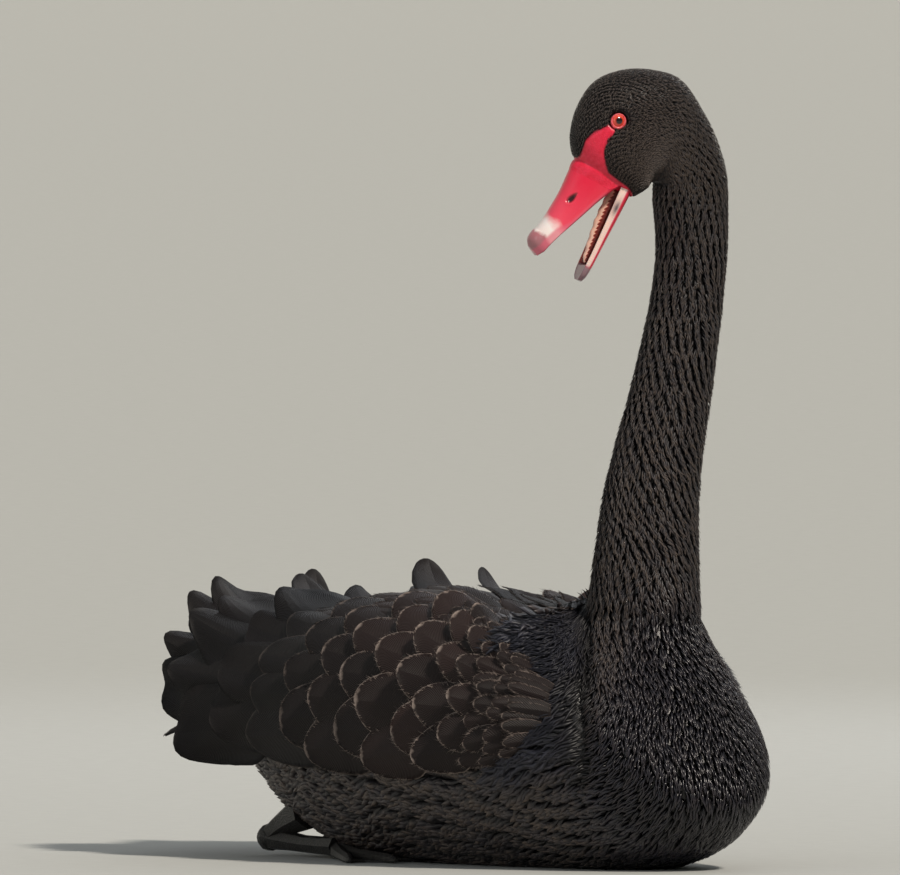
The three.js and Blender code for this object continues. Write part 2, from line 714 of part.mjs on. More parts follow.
// Legs and webbed feet, folded under the belly and flat on the floor
const LEG = {
  ankle: [-82, 66, 9],
  shin: [-128, 61, 9.5],
  heel: [-176, 56, 13],
  shank: [-158, 57, 23],
  thigh: [-128, 58, 34],
  knuckle: 10.5,
};
const LIMB_SIDES = 7;
function limb(points, radii) {
  const path = new THREE.CatmullRomCurve3(points);
  const steps = (points.length - 1) * 2;
  const rings = [];
  for (let i = 0; i <= steps; i += 1) {
    const t = i / steps;
    const tangent = path.getTangent(t);
    const across = new THREE.Vector3(0, 0, 1).cross(tangent).normalize();
    const over = tangent.clone().cross(across);
    const k = Math.min(Math.floor(t * (radii.length - 1)), radii.length - 2);
    const radius = lerp(radii[k], radii[k + 1], t * (radii.length - 1) - k);
    const ring = [];
    for (let a = 0; a < LIMB_SIDES; a += 1) {
      const angle = (2 * Math.PI * a) / LIMB_SIDES;
      ring.push(
        path
          .getPoint(t)
          .addScaledVector(across, radius * Math.cos(angle))
          .addScaledVector(over, radius * Math.sin(angle)),
      );
    }
    rings.push(ring);
  }
  return ringsSolid(rings);
}
const handed = (point, hand) => new THREE.Vector3(point[0], hand * point[1], point[2]);
const onFloor = (solid) => solid.trimByPlane(UP, FLOOR);
function leg(hand) {
  const shin = limb(
    [LEG.ankle, LEG.shin, LEG.heel].map((p) => handed(p, hand)),
    [8, 6.6, 6.8, 9.5],
  );
  const shank = limb(
    [LEG.heel, LEG.shank, LEG.thigh].map((p) => handed(p, hand)),
    [9, 10, 15],
  );
  const knuckle = solidOf(
    new THREE.SphereGeometry(LEG.knuckle, 10, 6).translate(...handed(LEG.heel, hand).toArray()),
  );
  const behind = onFloor(joined([shin, shank, knuckle])).trimByPlane(BACKWARD, GAP / 2 - LEG.ankle[0]);
  return largest(behind.subtract(fleshWithGap));
}
const TOES = [
  { turn: -6, length: 84 },
  { turn: 12, length: 100 },
  { turn: 32, length: 88 },
];
const TOE_RADII = [6.5, 4.6, 4.2, 3.6, 1.4];
const WEB = { thick: 1.6, reach: 0.86, hollow: 0.78 };
function foot(hand) {
  const root = LEG.ankle.slice(0, 2);
  const tipOf = (toe) => [
    root[0] + toe.length * Math.cos(rad(toe.turn)),
    root[1] + toe.length * Math.sin(rad(toe.turn)),
  ];
  const toes = TOES.map((toe) => {
    const [x, y] = tipOf(toe);
    const at = (t, z) => handed([lerp(root[0], x, t), lerp(root[1], y, t), z], hand);
    return limb([at(0, 6.5), at(0.4, 4.2), at(0.88, 3.2), at(1, 2.4)], TOE_RADII);
  });
  const outline = [root];
  TOES.forEach((toe, i) => {
    const [x, y] = tipOf(toe);
    outline.push([lerp(root[0], x, WEB.reach), lerp(root[1], y, WEB.reach)]);
    if (i + 1 < TOES.length) {
      const next = tipOf(TOES[i + 1]);
      const middle = [(x + next[0]) / 2, (y + next[1]) / 2];
      outline.push([lerp(root[0], middle[0], WEB.hollow), lerp(root[1], middle[1], WEB.hollow)]);
    }
  });
  const shape = new THREE.Shape(outline.map(([x, y]) => new THREE.Vector2(x, hand * y)));
  const web = solidOf(new THREE.ExtrudeGeometry(shape, { depth: WEB.thick, bevelEnabled: false }));
  const ahead = onFloor(joined([...toes, web])).trimByPlane(FORWARD, LEG.ankle[0] + GAP / 2);
  return largest(ahead.subtract(fleshWithGap));
}
const legs = { leg_left: leg(1), leg_right: leg(-1) };
const feet = { foot_left: foot(1), foot_right: foot(-1) };

const wings = { wing_left: wing(1), wing_right: wing(-1) };

// Materials, one for each finish
const material = (color, roughness) =>
  new THREE.MeshStandardMaterial({ color, roughness, metalness: 0 });
const plumage = material(0x17151a, 0.7);
const bill = material(0xd3213f, 0.35);
const gape = material(0xa8453c, 0.4);
const eye = material(0xd23a22, 0.1);
const scales = material(0x24221f, 0.6);

const swan = new THREE.Group();
function add(name, solid, finish) {
  const mesh = new THREE.Mesh(geometryOf(solid), finish);
  mesh.name = name;
  swan.add(mesh);
}
add("torso", torso, plumage);
Object.entries(neckLengths).forEach(([name, solid]) => add(name, largest(solid), plumage));
add("head", head, plumage);
Object.entries(eyes).forEach(([name, solid]) => add(name, solid, eye));
add("upper_bill", upperBill, bill);
add("lower_bill", lowerBill, bill);
add("tongue", tongue, gape);
Object.entries(wings).forEach(([name, solid]) => add(name, solid, plumage));
add("tail", tail, plumage);
Object.entries(legs).forEach(([name, solid]) => add(name, solid, scales));
Object.entries(feet).forEach(([name, solid]) => add(name, solid, scales));

export default swan;
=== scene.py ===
"""A life-size black swan that rests on its belly as it floats, with its head turned aside and its bill open.

Millimetres are used for shapes until they become meshes in metres. +X runs forward to the breast,
+Y to the swan's left, +Z up, with the floor at zero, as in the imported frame.
"""

import math

import bpy
import numpy as np
from mathutils import Matrix, Vector


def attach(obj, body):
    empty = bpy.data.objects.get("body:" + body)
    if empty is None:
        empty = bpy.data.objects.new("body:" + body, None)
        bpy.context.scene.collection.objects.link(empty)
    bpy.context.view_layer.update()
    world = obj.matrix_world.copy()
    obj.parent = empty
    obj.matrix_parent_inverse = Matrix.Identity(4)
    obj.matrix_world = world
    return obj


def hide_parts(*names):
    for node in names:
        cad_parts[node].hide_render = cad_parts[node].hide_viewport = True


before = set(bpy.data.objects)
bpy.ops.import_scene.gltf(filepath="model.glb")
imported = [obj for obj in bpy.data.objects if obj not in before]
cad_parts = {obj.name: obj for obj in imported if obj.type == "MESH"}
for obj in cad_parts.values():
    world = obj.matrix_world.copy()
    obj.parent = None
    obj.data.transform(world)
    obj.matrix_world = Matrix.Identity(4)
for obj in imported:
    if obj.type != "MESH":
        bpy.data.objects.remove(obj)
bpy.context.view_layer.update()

MM = 0.001
PIXEL = 0.74  # millimetres at the swan that one pixel of the photo covers
IMAGE = (900, 875)
VIEW_AZIMUTH = 52.0
VIEW_ELEVATION = 1.5
CAMERA_DISTANCE = 25.0
IMAGE_MIDDLE = (-19.2, 312.7)  # to the right and up from the belly's middle, seen by the camera

rng = np.random.default_rng(20)
BAKE_PATCH = 0.003  # size of one tuft on the unwrap that its colours are baked to
CLEAR = 0.3  # least gap between a feather and the floor, or between a wing and the body's middle plane
SIDE_NAMES = {1: "left", -1: "right"}


def lerp(a, b, t):
    """From a to b as t goes from nought to one."""
    return a + (b - a) * t


def smooth(x):
    """Nought up to 0 and one from 1 on, with an S-curve between."""
    t = np.clip(x, 0, 1)
    return t * t * (3 - 2 * t)


def above(x, limit, soft):
    """Nought up to a limit, and one from a soft distance past it."""
    return smooth((x - limit) / soft)


def below(x, limit, soft):
    """One up to a soft distance before a limit, and nought from the limit on."""
    return smooth((limit - x) / soft)


def full_turn(count):
    """Equal steps round a full turn in radians, without its end."""
    return 2 * np.pi * np.arange(count) / count


def signed_power(x, n):
    """The size of x to the power n, with the sign of x."""
    return np.sign(x) * np.abs(x) ** n


def unit(v):
    """Vectors brought to length one."""
    return v / np.maximum(np.linalg.norm(v, axis=-1, keepdims=True), 1e-9)


def curve(knots, values):
    """Cubic through the values at the knots; the slope at each knot joins its two neighbours."""
    knots = np.asarray(knots, float)
    values = np.asarray(values, float)
    before = np.maximum(np.arange(len(knots)) - 1, 0)
    after = np.minimum(np.arange(len(knots)) + 1, len(knots) - 1)
    slope = (values[after] - values[before]) / (knots[after] - knots[before])

    def at(x):
        i = np.clip(np.searchsorted(knots, x, side="left") - 1, 0, len(knots) - 2)
        span = knots[i + 1] - knots[i]
        t = np.clip((x - knots[i]) / span, 0, 1)
        return (
            (2 * t**3 - 3 * t**2 + 1) * values[i]
            + (t**3 - 2 * t**2 + t) * span * slope[i]
            + (3 * t**2 - 2 * t**3) * values[i + 1]
            + (t**3 - t**2) * span * slope[i + 1]
        )

    return at


# Stations of the flesh, as in the solids. Each is x, y, z, pitch, yaw, the section's reach up, down and
# aside, and the power that squares its outline.
FLOOR = 0
BELLY_SINK = 9
BACK_HEIGHT = 189
BREAST_LENGTH = 213
TORSO_HALF_WIDTH = 116
TORSO_SQUARE, NECK_SQUARE, HEAD_SQUARE = 2.3, 2, 2.1
NECK_ROOT = (150, 200)
NECK_TURN = -110
HEAD_CENTRE = np.array([199.8, -2.0, 544.7])
HEAD_PITCH = -40
ASIDE = 7  # the column of the reach aside


def torso_at(x, top, bottom, widest, side):
    """An upright section from the heights of its top, bottom and widest part, and its half-width there."""
    return (x, 0, widest, 0, 0, top - widest, widest - bottom, side, TORSO_SQUARE)


def breast_at(angle, inner, outer, side):
    """A section fanned about the neck's root: 0 points down to the belly, 90 to the neck's front."""
    middle = (inner + outer) / 2
    half = (outer - inner) / 2
    turn = math.radians(angle)
    x = NECK_ROOT[0] + math.sin(turn) * middle
    z = NECK_ROOT[1] - math.cos(turn) * middle
    return (x, 0, z, angle, 0, half, half, side, lerp(TORSO_SQUARE, NECK_SQUARE, angle / 90))


def neck_at(x, y, z, radius, turned):
    """A round level section, turned by a share of the neck's whole turn."""
    return (x, y, z, 90, NECK_TURN * turned, radius, radius, radius, NECK_SQUARE)


def head_at(throat, crown, side):
    """A section between a throat point and a crown point, each as forward and up from the head's centre."""
    forward = crown[0] - throat[0]
    up = crown[1] - throat[1]
    half = math.hypot(forward, up) / 2
    middle = (throat[0] + crown[0]) / 2
    pitch = math.degrees(math.atan2(-forward, up))
    yaw = math.radians(NECK_TURN)
    x = HEAD_CENTRE[0] + middle * math.cos(yaw)
    y = HEAD_CENTRE[1] + middle * math.sin(yaw)
    z = HEAD_CENTRE[2] + (throat[1] + crown[1]) / 2
    return (x, y, z, pitch, NECK_TURN, half, half, side, HEAD_SQUARE)


STATIONS = np.array(
    [
        torso_at(-262, 120, 112, 116, 3),
        torso_at(-254, 137, 96, 117, 22),
        torso_at(-232, 150, 74, 112, 42),
        torso_at(-195, 162, 46, 106, 66),
        torso_at(-140, 173, 16, 101, 91),
        torso_at(-75, 182, -4, 98, 107),
        torso_at(-5, BACK_HEIGHT, FLOOR - BELLY_SINK, 96, TORSO_HALF_WIDTH),
        torso_at(65, BACK_HEIGHT, FLOOR - BELLY_SINK, 95, TORSO_HALF_WIDTH),
        torso_at(115, BACK_HEIGHT, FLOOR - BELLY_SINK, 94, TORSO_HALF_WIDTH - 4),
        breast_at(0, 8, 206, 109),
        breast_at(17, 6, 211, 103),
        breast_at(33, 5, 217, 90),
        breast_at(46, 5, BREAST_LENGTH, 72),
        breast_at(57, 5, 157, 54.5),
        breast_at(68, 6, 115, 45.5),
        breast_at(79, 8, 96, 41.5),
        breast_at(90, 9, 93, 40.5),
        neck_at(201, 1.8, 228, 38.5, 0.06),
        neck_at(202, 5.1, 271, 35.2, 0.25),
        neck_at(204.1, 10.9, 308, 32.6, 0.45),
        neck_at(206.9, 18.6, 345, 30.3, 0.65),
        neck_at(209.5, 25.2, 382, 28.2, 0.82),
        neck_at(211.7, 31.2, 419, 26.6, 0.93),
        neck_at(213, 34.6, 456, 26.2, 1),
        head_at((-10.5, -53), (-65.3, -53), 26.4),
        head_at((-9.5, -40.7), (-64.5, -36.5), 26.6),
        head_at((-8.5, -39.7), (-58.3, -12.5), 27),
        head_at((-7.8, -39.7), (-45.7, 13.3), 27.6),
        head_at((-7, -40.2), (-28.2, 36.1), 28.2),
        head_at((-6, -41), (-7.8, 42.6), 28.6),
        head_at((-5, -42), (14.5, 42.5), 28.6),
        head_at((-3.5, -44), (35.2, 34.4), 28),
        head_at((-1.5, -46), (48.6, 16), 26.4),
        head_at((2, -48.2), (54, -3.5), 23.4),
        head_at((5.4, -50), (53.6, -14.5), 20),
        head_at((8.2, -51.2), (51.6, -22.6), 16.6),
    ]
)
BREAST_STATION = 11
HIDDEN_STATION = 13  # from here on no root lies under a wing
NECK_STATION = 16
HEAD_STATION = 24


def axes_of(pitch, yaw):
    """The back and left directions of a section from its pitch and yaw in degrees."""
    p, w = np.radians(pitch), np.radians(yaw)
    back = np.stack([-np.sin(p) * np.cos(w), -np.sin(p) * np.sin(w), np.cos(p)], -1)
    left = np.stack([-np.sin(w), np.cos(w), np.zeros_like(w)], -1)
    return back, left


def station_places():
    """Distance along the flesh: what the middle, back and belly of a section move to the next, averaged."""
    middle = STATIONS[:, :3]
    back, _ = axes_of(STATIONS[:, 3], STATIONS[:, 4])
    tracks = [middle, middle + back * STATIONS[:, 5:6], middle - back * STATIONS[:, 6:7]]
    steps = sum(np.linalg.norm(np.diff(track, axis=0), axis=1) for track in tracks) / 3
    return np.concatenate([[0], np.cumsum(steps)])


PLACE = station_places()
FIELDS = [curve(PLACE, STATIONS[:, k]) for k in range(STATIONS.shape[1])]


def flesh(place, angle):
    """The skin at a place along the body and an angle round it from the back, positive to the left:
    the section's middle plus back times cosine and left times sine, each raised to the section's power."""
    place, angle = np.broadcast_arrays(np.asarray(place, float), np.asarray(angle, float))
    x, y, z, pitch, yaw, up, down, side, square = [field(place) for field in FIELDS]
    back, left = axes_of(pitch, yaw)
    rise = np.where(np.cos(angle) >= 0, up, down) * signed_power(np.cos(angle), 2 / square)
    across = side * signed_power(np.sin(angle), 2 / square)
    points = np.stack([x, y, z], -1) + back * rise[..., None] + left * across[..., None]
    points[..., 2] = np.maximum(points[..., 2], FLOOR)
    return points


def flesh_frame(place, angle):
    """Points of the skin with their outward normal and the direction from tail to face."""
    step_place, step_angle = 0.6, 0.01
    forward = flesh(place + step_place, angle) - flesh(place - step_place, angle)
    around = flesh(place, angle + step_angle) - flesh(place, angle - step_angle)
    return flesh(place, angle), unit(np.cross(forward, around)), unit(forward)


# The head's own frame: forward along the bill, left and up
head_pitch, head_yaw = math.radians(HEAD_PITCH), math.radians(NECK_TURN)
FORWARD = np.array(
    [
        math.cos(head_pitch) * math.cos(head_yaw),
        math.cos(head_pitch) * math.sin(head_yaw),
        math.sin(head_pitch),
    ]
)
LEFT = np.array([-math.sin(head_yaw), math.cos(head_yaw), 0])
UPWARD = np.cross(FORWARD, LEFT)


def from_head(forward, side, up):
    """A point of the head's own frame in the swan's frame."""
    forward, side, up = np.broadcast_arrays(forward, side, up)
    return (
        HEAD_CENTRE
        + forward[..., None] * FORWARD
        + side[..., None] * LEFT
        + up[..., None] * UPWARD
    )


def to_head(points):
    """How far points lie forward, left and up from the head's centre, in its own frame."""
    offset = points - HEAD_CENTRE
    return offset @ FORWARD, offset @ LEFT, offset @ UPWARD


# Bare skin: a strip in front of each eye that widens to the bill, as forward and up in the head's frame
BARE_EDGE = np.array(
    [
        (20, 19.8),
        (24.6, 23.3),
        (35.5, 25.4),
        (43, 24.2),
        (52.6, 16),
        (90, 20),
        (90, -60),
        (38.7, -34),
        (40.4, -23.1),
        (43.1, -15.1),
        (45.6, -4.9),
        (43.9, 1),
        (41.5, 6.8),
        (37.9, 11.5),
        (32.1, 15.1),
        (25.2, 16.2),
    ]
)


def bare_depth(points):
    """Signed distance inside the bare strip's outline, in the side view of the head."""
    forward, _, up = to_head(points)
    p = np.stack([forward, up], -1)[..., None, :]
    a = BARE_EDGE
    b = np.roll(BARE_EDGE, -1, axis=0)
    edge = b - a
    t = np.clip(((p - a) * edge).sum(-1) / (edge**2).sum(-1), 0, 1)
    distance = np.linalg.norm(p - a - t[..., None] * edge, axis=-1).min(-1)
    spans = (a[:, 1] > p[..., 1]) != (b[:, 1] > p[..., 1])
    level = np.where(np.abs(edge[:, 1]) < 1e-9, 1e-9, edge[:, 1])
    crossing = p[..., 0] < a[:, 0] + edge[:, 0] * (p[..., 1] - a[:, 1]) / level
    inside = (spans & crossing).sum(-1) % 2 == 1
    return np.where(inside, distance, -distance)


# Meshes


def grid_quads(rows, columns, closed=False):
    """Quads of a grid of points, wrapped round if closed."""
    r = np.arange(rows - 1)[:, None] * columns
    c = np.arange(columns if closed else columns - 1)[None, :]
    n = (c + 1) % columns
    return np.stack([r + c, r + n, r + columns + n, r + columns + c], -1).reshape(-1, 4)


def slab_quads(rows, columns):
    """Quads of a closed sheet: an upper grid, a lower grid after it, and the rim between them."""
    upper = grid_quads(rows, columns)
    lower = upper[:, ::-1] + rows * columns
    top = np.arange(columns)
    right = np.arange(rows) * columns + columns - 1
    bottom = (rows - 1) * columns + np.arange(columns)[::-1]
    left = (np.arange(rows) * columns)[::-1]
    rim = np.concatenate([top[:-1], right[:-1], bottom[:-1], left[:-1]])
    follow = np.roll(rim, -1)
    sides = np.stack([follow, rim, rim + rows * columns, follow + rows * columns], -1)
    return np.concatenate([upper, lower, sides])


def repeat_faces(faces, points_each, count):
    """The same faces over and over, each time on the next lot of points."""
    offset = (np.arange(count) * points_each)[:, None, None]
    return (faces[None] + offset).reshape(-1, faces.shape[1])


def outward(points, faces):
    """The faces in the order that makes the volume they enclose positive."""
    a = points[faces[:, 0]]
    volume = 0.0
    for k in range(1, faces.shape[1] - 1):
        volume += np.einsum("ij,ij->i", a, np.cross(points[faces[:, k]], points[faces[:, k + 1]])).sum()
    return faces if volume >= 0 else faces[:, ::-1]


def mesh_piece(name, points, faces, material, attributes=None, uv=None, smooth_faces=True):
    """A mesh object from points in millimetres and quads or triangles, with point attributes."""
    mesh = bpy.data.meshes.new(name)
    points = np.asarray(points, float).reshape(-1, 3) * MM
    faces = np.ascontiguousarray(outward(points, np.asarray(faces, np.int32)))
    mesh.vertices.add(len(points))
    mesh.vertices.foreach_set("co", points.ravel())
    mesh.loops.add(faces.size)
    mesh.loops.foreach_set("vertex_index", faces.ravel())
    mesh.polygons.add(len(faces))
    mesh.polygons.foreach_set("loop_start", np.arange(0, faces.size, faces.shape[1], dtype=np.int32))
    mesh.polygons.foreach_set("use_smooth", np.full(len(faces), smooth_faces))
    if uv is not None:
        layer = mesh.uv_layers.new(name="OFBake")
        layer.data.foreach_set("uv", np.asarray(uv, float).reshape(-1, 2)[faces.ravel()].ravel())
    for key, values in (attributes or {}).items():
        data = mesh.attributes.new(key, "FLOAT", "POINT").data
        data.foreach_set("value", np.asarray(values, float).ravel())
    mesh.update(calc_edges=True)
    mesh.validate()
    piece = bpy.data.objects.new(name, mesh)
    bpy.context.scene.collection.objects.link(piece)
    mesh.materials.append(material)
    return piece


def capped(rings):
    """Points and triangles of a closed tube of rings, with a middle point at each end."""
    rows, columns = rings.shape[:2]
    points = np.concatenate([rings.reshape(-1, 3), rings[0].mean(0)[None], rings[-1].mean(0)[None]])
    ring = np.arange(columns)
    following = (ring + 1) % columns
    first, last = rows * columns, rows * columns + 1
    start = np.stack([following, ring, np.full(columns, first)], -1)
    base = (rows - 1) * columns
    end = np.stack([base + ring, base + following, np.full(columns, last)], -1)
    sides = grid_quads(rows, columns, closed=True)
    triangles = np.concatenate([sides[:, [0, 1, 2]], sides[:, [0, 2, 3]], start, end])
    return points, triangles


# Materials

# A mix node has sockets of one name for each kind of value. These are its inputs and output for colours.
FACTOR, FIRST, SECOND, MIXED = 0, 6, 7, 2


def srgb(code):
    """An sRGB hex colour as linear red, green, blue and alpha."""
    parts = np.array([int(code[i : i + 2], 16) / 255 for i in (1, 3, 5)])
    linear = np.where(parts <= 0.04045, parts / 12.92, ((parts + 0.055) / 1.055) ** 2.4)
    return (*linear.tolist(), 1.0)


def fill(tree, node, inputs):
    """Sets each input of a node to a value, or links it to another node's output."""
    for name, value in inputs.items():
        if isinstance(value, bpy.types.NodeSocket):
            tree.links.new(value, node.inputs[name])
        else:
            node.inputs[name].default_value = value


def put(tree, kind, output, inputs=None, stops=None, **settings):
    """Adds a node with its settings, colour stops and inputs, and gives back the output asked for."""
    node = tree.nodes.new("ShaderNode" + kind)
    for name, value in settings.items():
        setattr(node, name, value)
    for k, (position, code) in enumerate(stops or []):
        elements = node.color_ramp.elements
        element = elements[k] if k < len(elements) else elements.new(position)
        element.position = position
        element.color = srgb(code)
    fill(tree, node, inputs or {})
    return node.outputs[output]


def new_material(name):
    """A material with its node tree and the node of its surface shader."""
    material = bpy.data.materials.new(name)
    material.use_nodes = True
    tree = material.node_tree
    return material, tree, tree.nodes["Principled BSDF"]


def contour_feathers():
    """Body feathers: dark keratin barbs that lie loose, so that they look black with a faint soft shine,
    bluish where fresh and brownish where worn; each tuft is paler towards its tip, partly from wear and
    partly as a painted highlight, and dark in the breast's crease as painted shade. Water smooths those of
    the breast to a gloss."""
    material, tree, shader = new_material("Contour feathers of dark keratin barbs")
    names = ("tone", "along", "wet")
    tone, along, wet = (put(tree, "Attribute", "Fac", attribute_name=name) for name in names)
    # each ramp runs from a dark root to a paler tip, partly wear and partly a painted highlight on the tips
    fresh_stops_tip_highlight = [(0.0, "#050507"), (0.5, "#10111a"), (1.0, "#2c2f3e")]
    worn_stops_tip_highlight = [(0.0, "#060505"), (0.5, "#1d1718"), (1.0, "#67594f")]
    fresh, worn = (
        put(tree, "ValToRGB", "Color", {"Fac": along}, stops) for stops in (fresh_stops_tip_highlight, worn_stops_tip_highlight)
    )
    colour = put(tree, "Mix", MIXED, {FACTOR: tone, FIRST: fresh, SECOND: worn}, data_type="RGBA")
    gloss = put(tree, "MapRange", "Result", {"Value": wet, "To Min": 0.5, "To Max": 0.28})
    surface = {"Base Color": colour, "Roughness": gloss, "IOR": 1.55, "Specular IOR Level": 0.42}
    fill(tree, shader, surface)
    return material


def vane_feathers():
    """Wing feathers: barbs zipped into one smooth dull vane with a raised quill, black to brown-black, and
    worn pale at the loose barbs of the edge."""
    material, tree, shader = new_material("Wing feathers of zipped barbs with worn edges")
    place = put(tree, "TexCoord", "Object")
    names = ("tone", "edge", "barb", "fringe")
    tone, edge, barb, fringe = (put(tree, "Attribute", "Fac", attribute_name=name) for name in names)
    browning = {FACTOR: tone, FIRST: srgb("#070709"), SECOND: srgb("#2c1f1d")}
    black = put(tree, "Mix", MIXED, browning, data_type="RGBA")
    # wear comes and goes over about 6 mm along the edge
    patchy = put(tree, "TexNoise", "Fac", {"Vector": place, "Scale": 170.0, "Detail": 3.0})
    spread = {"Value": patchy, "From Min": 0.35, "From Max": 0.75, "To Min": 0.02, "To Max": 0.14}
    width = put(tree, "MapRange", "Result", spread)
    fading = {"Value": edge, "From Min": 0.0, "From Max": width, "To Min": 1.0, "To Max": 0.0}
    worn = put(tree, "MapRange", "Result", fading, interpolation_type="SMOOTHSTEP")
    amount = put(tree, "Math", "Value", {0: worn, 1: fringe}, operation="MULTIPLY")
    paling = {FACTOR: amount, FIRST: black, SECOND: srgb("#9a8c84")}
    colour = put(tree, "Mix", MIXED, paling, data_type="RGBA")
    # barbs lie about 0.6 mm apart; drawn 1.5 mm apart, they still show at this distance
    wave = put(tree, "Math", "Value", {0: barb, 1: 2 * math.pi / 1.5}, operation="MULTIPLY")
    ridges = put(tree, "Math", "Value", {0: wave}, operation="SINE")
    bump = put(tree, "Bump", "Normal", {"Height": ridges, "Strength": 0.45, "Distance": 0.0006})
    surface = {"Base Color": colour, "Normal": bump, "Roughness": 0.55, "IOR": 1.55}
    fill(tree, shader, surface | {"Specular IOR Level": 0.24})
    return material


def skin_and_down():
    """Face skin: thin waxy skin over blood, crimson and finely wrinkled; elsewhere black down under the
    coat."""
    material, tree, shader = new_material("Bare crimson skin and black down")
    place = put(tree, "TexCoord", "Object")
    bare = put(tree, "Attribute", "Fac", attribute_name="bare")
    mottle = put(tree, "TexNoise", "Fac", {"Vector": place, "Scale": 320.0, "Detail": 4.0})
    red = put(tree, "ValToRGB", "Color", {"Fac": mottle}, [(0.3, "#e01538"), (0.7, "#ee2c4e")])
    baring = {FACTOR: bare, FIRST: srgb("#0b090b"), SECOND: red}
    colour = put(tree, "Mix", MIXED, baring, data_type="RGBA")
    # wrinkles about 1 mm apart
    wrinkle = put(tree, "TexNoise", "Fac", {"Vector": place, "Scale": 900.0, "Detail": 3.0})
    bump = put(tree, "Bump", "Normal", {"Height": wrinkle, "Strength": 0.5, "Distance": 0.0006})
    surface = {"Base Color": colour, "Normal": bump, "Roughness": 0.34}
    fill(tree, shader, surface | {"Subsurface Weight": 0.06, "Subsurface Scale": 0.002})
    return material


def bill_horn():
    """Bill: waxy keratin over bone, crimson and polished by use, with a white band and a hard greyish
    nail; paler along the cutting edge, with painted shade inside the nostril and partly over the vault
    inside."""
    material, tree, shader = new_material("Crimson waxy bill horn")
    place = put(tree, "TexCoord", "Object")
    names = ("along", "hole", "rim")
    along, hole, rim = (put(tree, "Attribute", "Fac", attribute_name=name) for name in names)
    # blotches of about 8 mm shift the bands a little
    blotch = put(tree, "TexNoise", "Fac", {"Vector": place, "Scale": 130.0, "Detail": 3.0})
    shifted = put(tree, "Math", "Value", {0: blotch, 1: 0.06, 2: -0.03}, operation="MULTIPLY_ADD")
    reach = put(tree, "Math", "Value", {0: along, 1: shifted}, operation="ADD")
    stops = [
        (0.0, "#e01a3c"),
        (0.5, "#e42344"),
        (0.76, "#e8475f"),
        (0.825, "#f5ebe8"),
        (0.885, "#f3e4e0"),
        (0.91, "#b9737b"),
        (1.0, "#a36e74"),
    ]
    bands = put(tree, "ValToRGB", "Color", {"Fac": reach}, stops)
    share = put(tree, "Math", "Value", {0: rim, 1: 0.75}, operation="MULTIPLY")
    paling = {FACTOR: share, FIRST: bands, SECOND: srgb("#e0627a")}
    rimmed = put(tree, "Mix", MIXED, paling, data_type="RGBA")
    # painted shade: near black inside the nostril, and partly dark over the vault inside the mouth
    darkening = {FACTOR: hole, FIRST: rimmed, SECOND: srgb("#2a0509")}
    colour = put(tree, "Mix", MIXED, darkening, data_type="RGBA")
    # pores a little over 1 mm apart
    pores = put(tree, "TexNoise", "Fac", {"Vector": place, "Scale": 700.0, "Detail": 4.0})
    bump = put(tree, "Bump", "Normal", {"Height": pores, "Strength": 0.16, "Distance": 0.0003})
    surface = {"Base Color": colour, "Normal": bump, "Roughness": 0.3, "Subsurface Weight": 0.05}
    polish = {"Subsurface Scale": 0.002, "Coat Weight": 0.5, "Coat Roughness": 0.14}
    fill(tree, shader, surface | polish)
    return material


def mouth_lining():
    """Mouth: wet mucous membrane, pale pink on the comb-like ridges and painted dark orange-brown deep
    inside as the mouth's shade, with the lower bill's grey nail and a grey stain near its root."""
    material, tree, shader = new_material("Wet mouth lining")
    names = ("inner", "nail", "stain")
    inner, nail, stain = (put(tree, "Attribute", "Fac", attribute_name=name) for name in names)
    stops = [
        (0.0, "#4a0f0c"),
        (0.2, "#86261c"),
        (0.45, "#c05a4c"),
        (0.64, "#f0bfa8"),
        (0.78, "#f6d9d2"),
        (0.9, "#e4566c"),
        (1.0, "#d6203a"),
    ]
    tint = put(tree, "ValToRGB", "Color", {"Fac": inner}, stops)
    staining = {FACTOR: stain, FIRST: tint, SECOND: srgb("#5a4d54")}
    stained = put(tree, "Mix", MIXED, staining, data_type="RGBA")
    greying = {FACTOR: nail, FIRST: stained, SECOND: srgb("#93727b")}
    colour = put(tree, "Mix", MIXED, greying, data_type="RGBA")
    surface = {"Base Color": colour, "Roughness": 0.3, "Subsurface Weight": 0.1}
    wetness = {"Subsurface Scale": 0.002, "Coat Weight": 0.4, "Coat Roughness": 0.12}
    fill(tree, shader, surface | wetness)
    return material


def wet_eye():
    """Eye: a clear wet cornea over an orange-red iris and a black pupil."""
    material, tree, shader = new_material("Clear wet eye with red iris")
    ring = put(tree, "Attribute", "Fac", attribute_name="ring")
    stops = [
        (0.0, "#030202"),
        (0.335, "#050303"),
        (0.375, "#8f1d0c"),
        (0.5, "#d8412a"),
        (0.66, "#e04f38"),
        (0.76, "#8a1512"),
        (0.84, "#1a0505"),
    ]
    bands = put(tree, "ValToRGB", "Color", {"Fac": ring}, stops)
    cornea = {"Coat Weight": 1.0, "Coat Roughness": 0.02, "Coat IOR": 1.38}
    fill(tree, shader, {"Base Color": bands, "Roughness": 0.22} | cornea)
    return material


def lid_skin():
    """Eyelid: a swollen rim of smooth red skin, mottled paler and darker."""
    material, tree, shader = new_material("Red eyelid skin")
    place = put(tree, "TexCoord", "Object")
    mottle = put(tree, "TexNoise", "Fac", {"Vector": place, "Scale": 500.0, "Detail": 3.0})
    colour = put(tree, "ValToRGB", "Color", {"Fac": mottle}, [(0.3, "#c41f30"), (0.7, "#ee6a70")])
    fill(tree, shader, {"Base Color": colour, "Roughness": 0.36, "Subsurface Weight": 0.05})
    return material


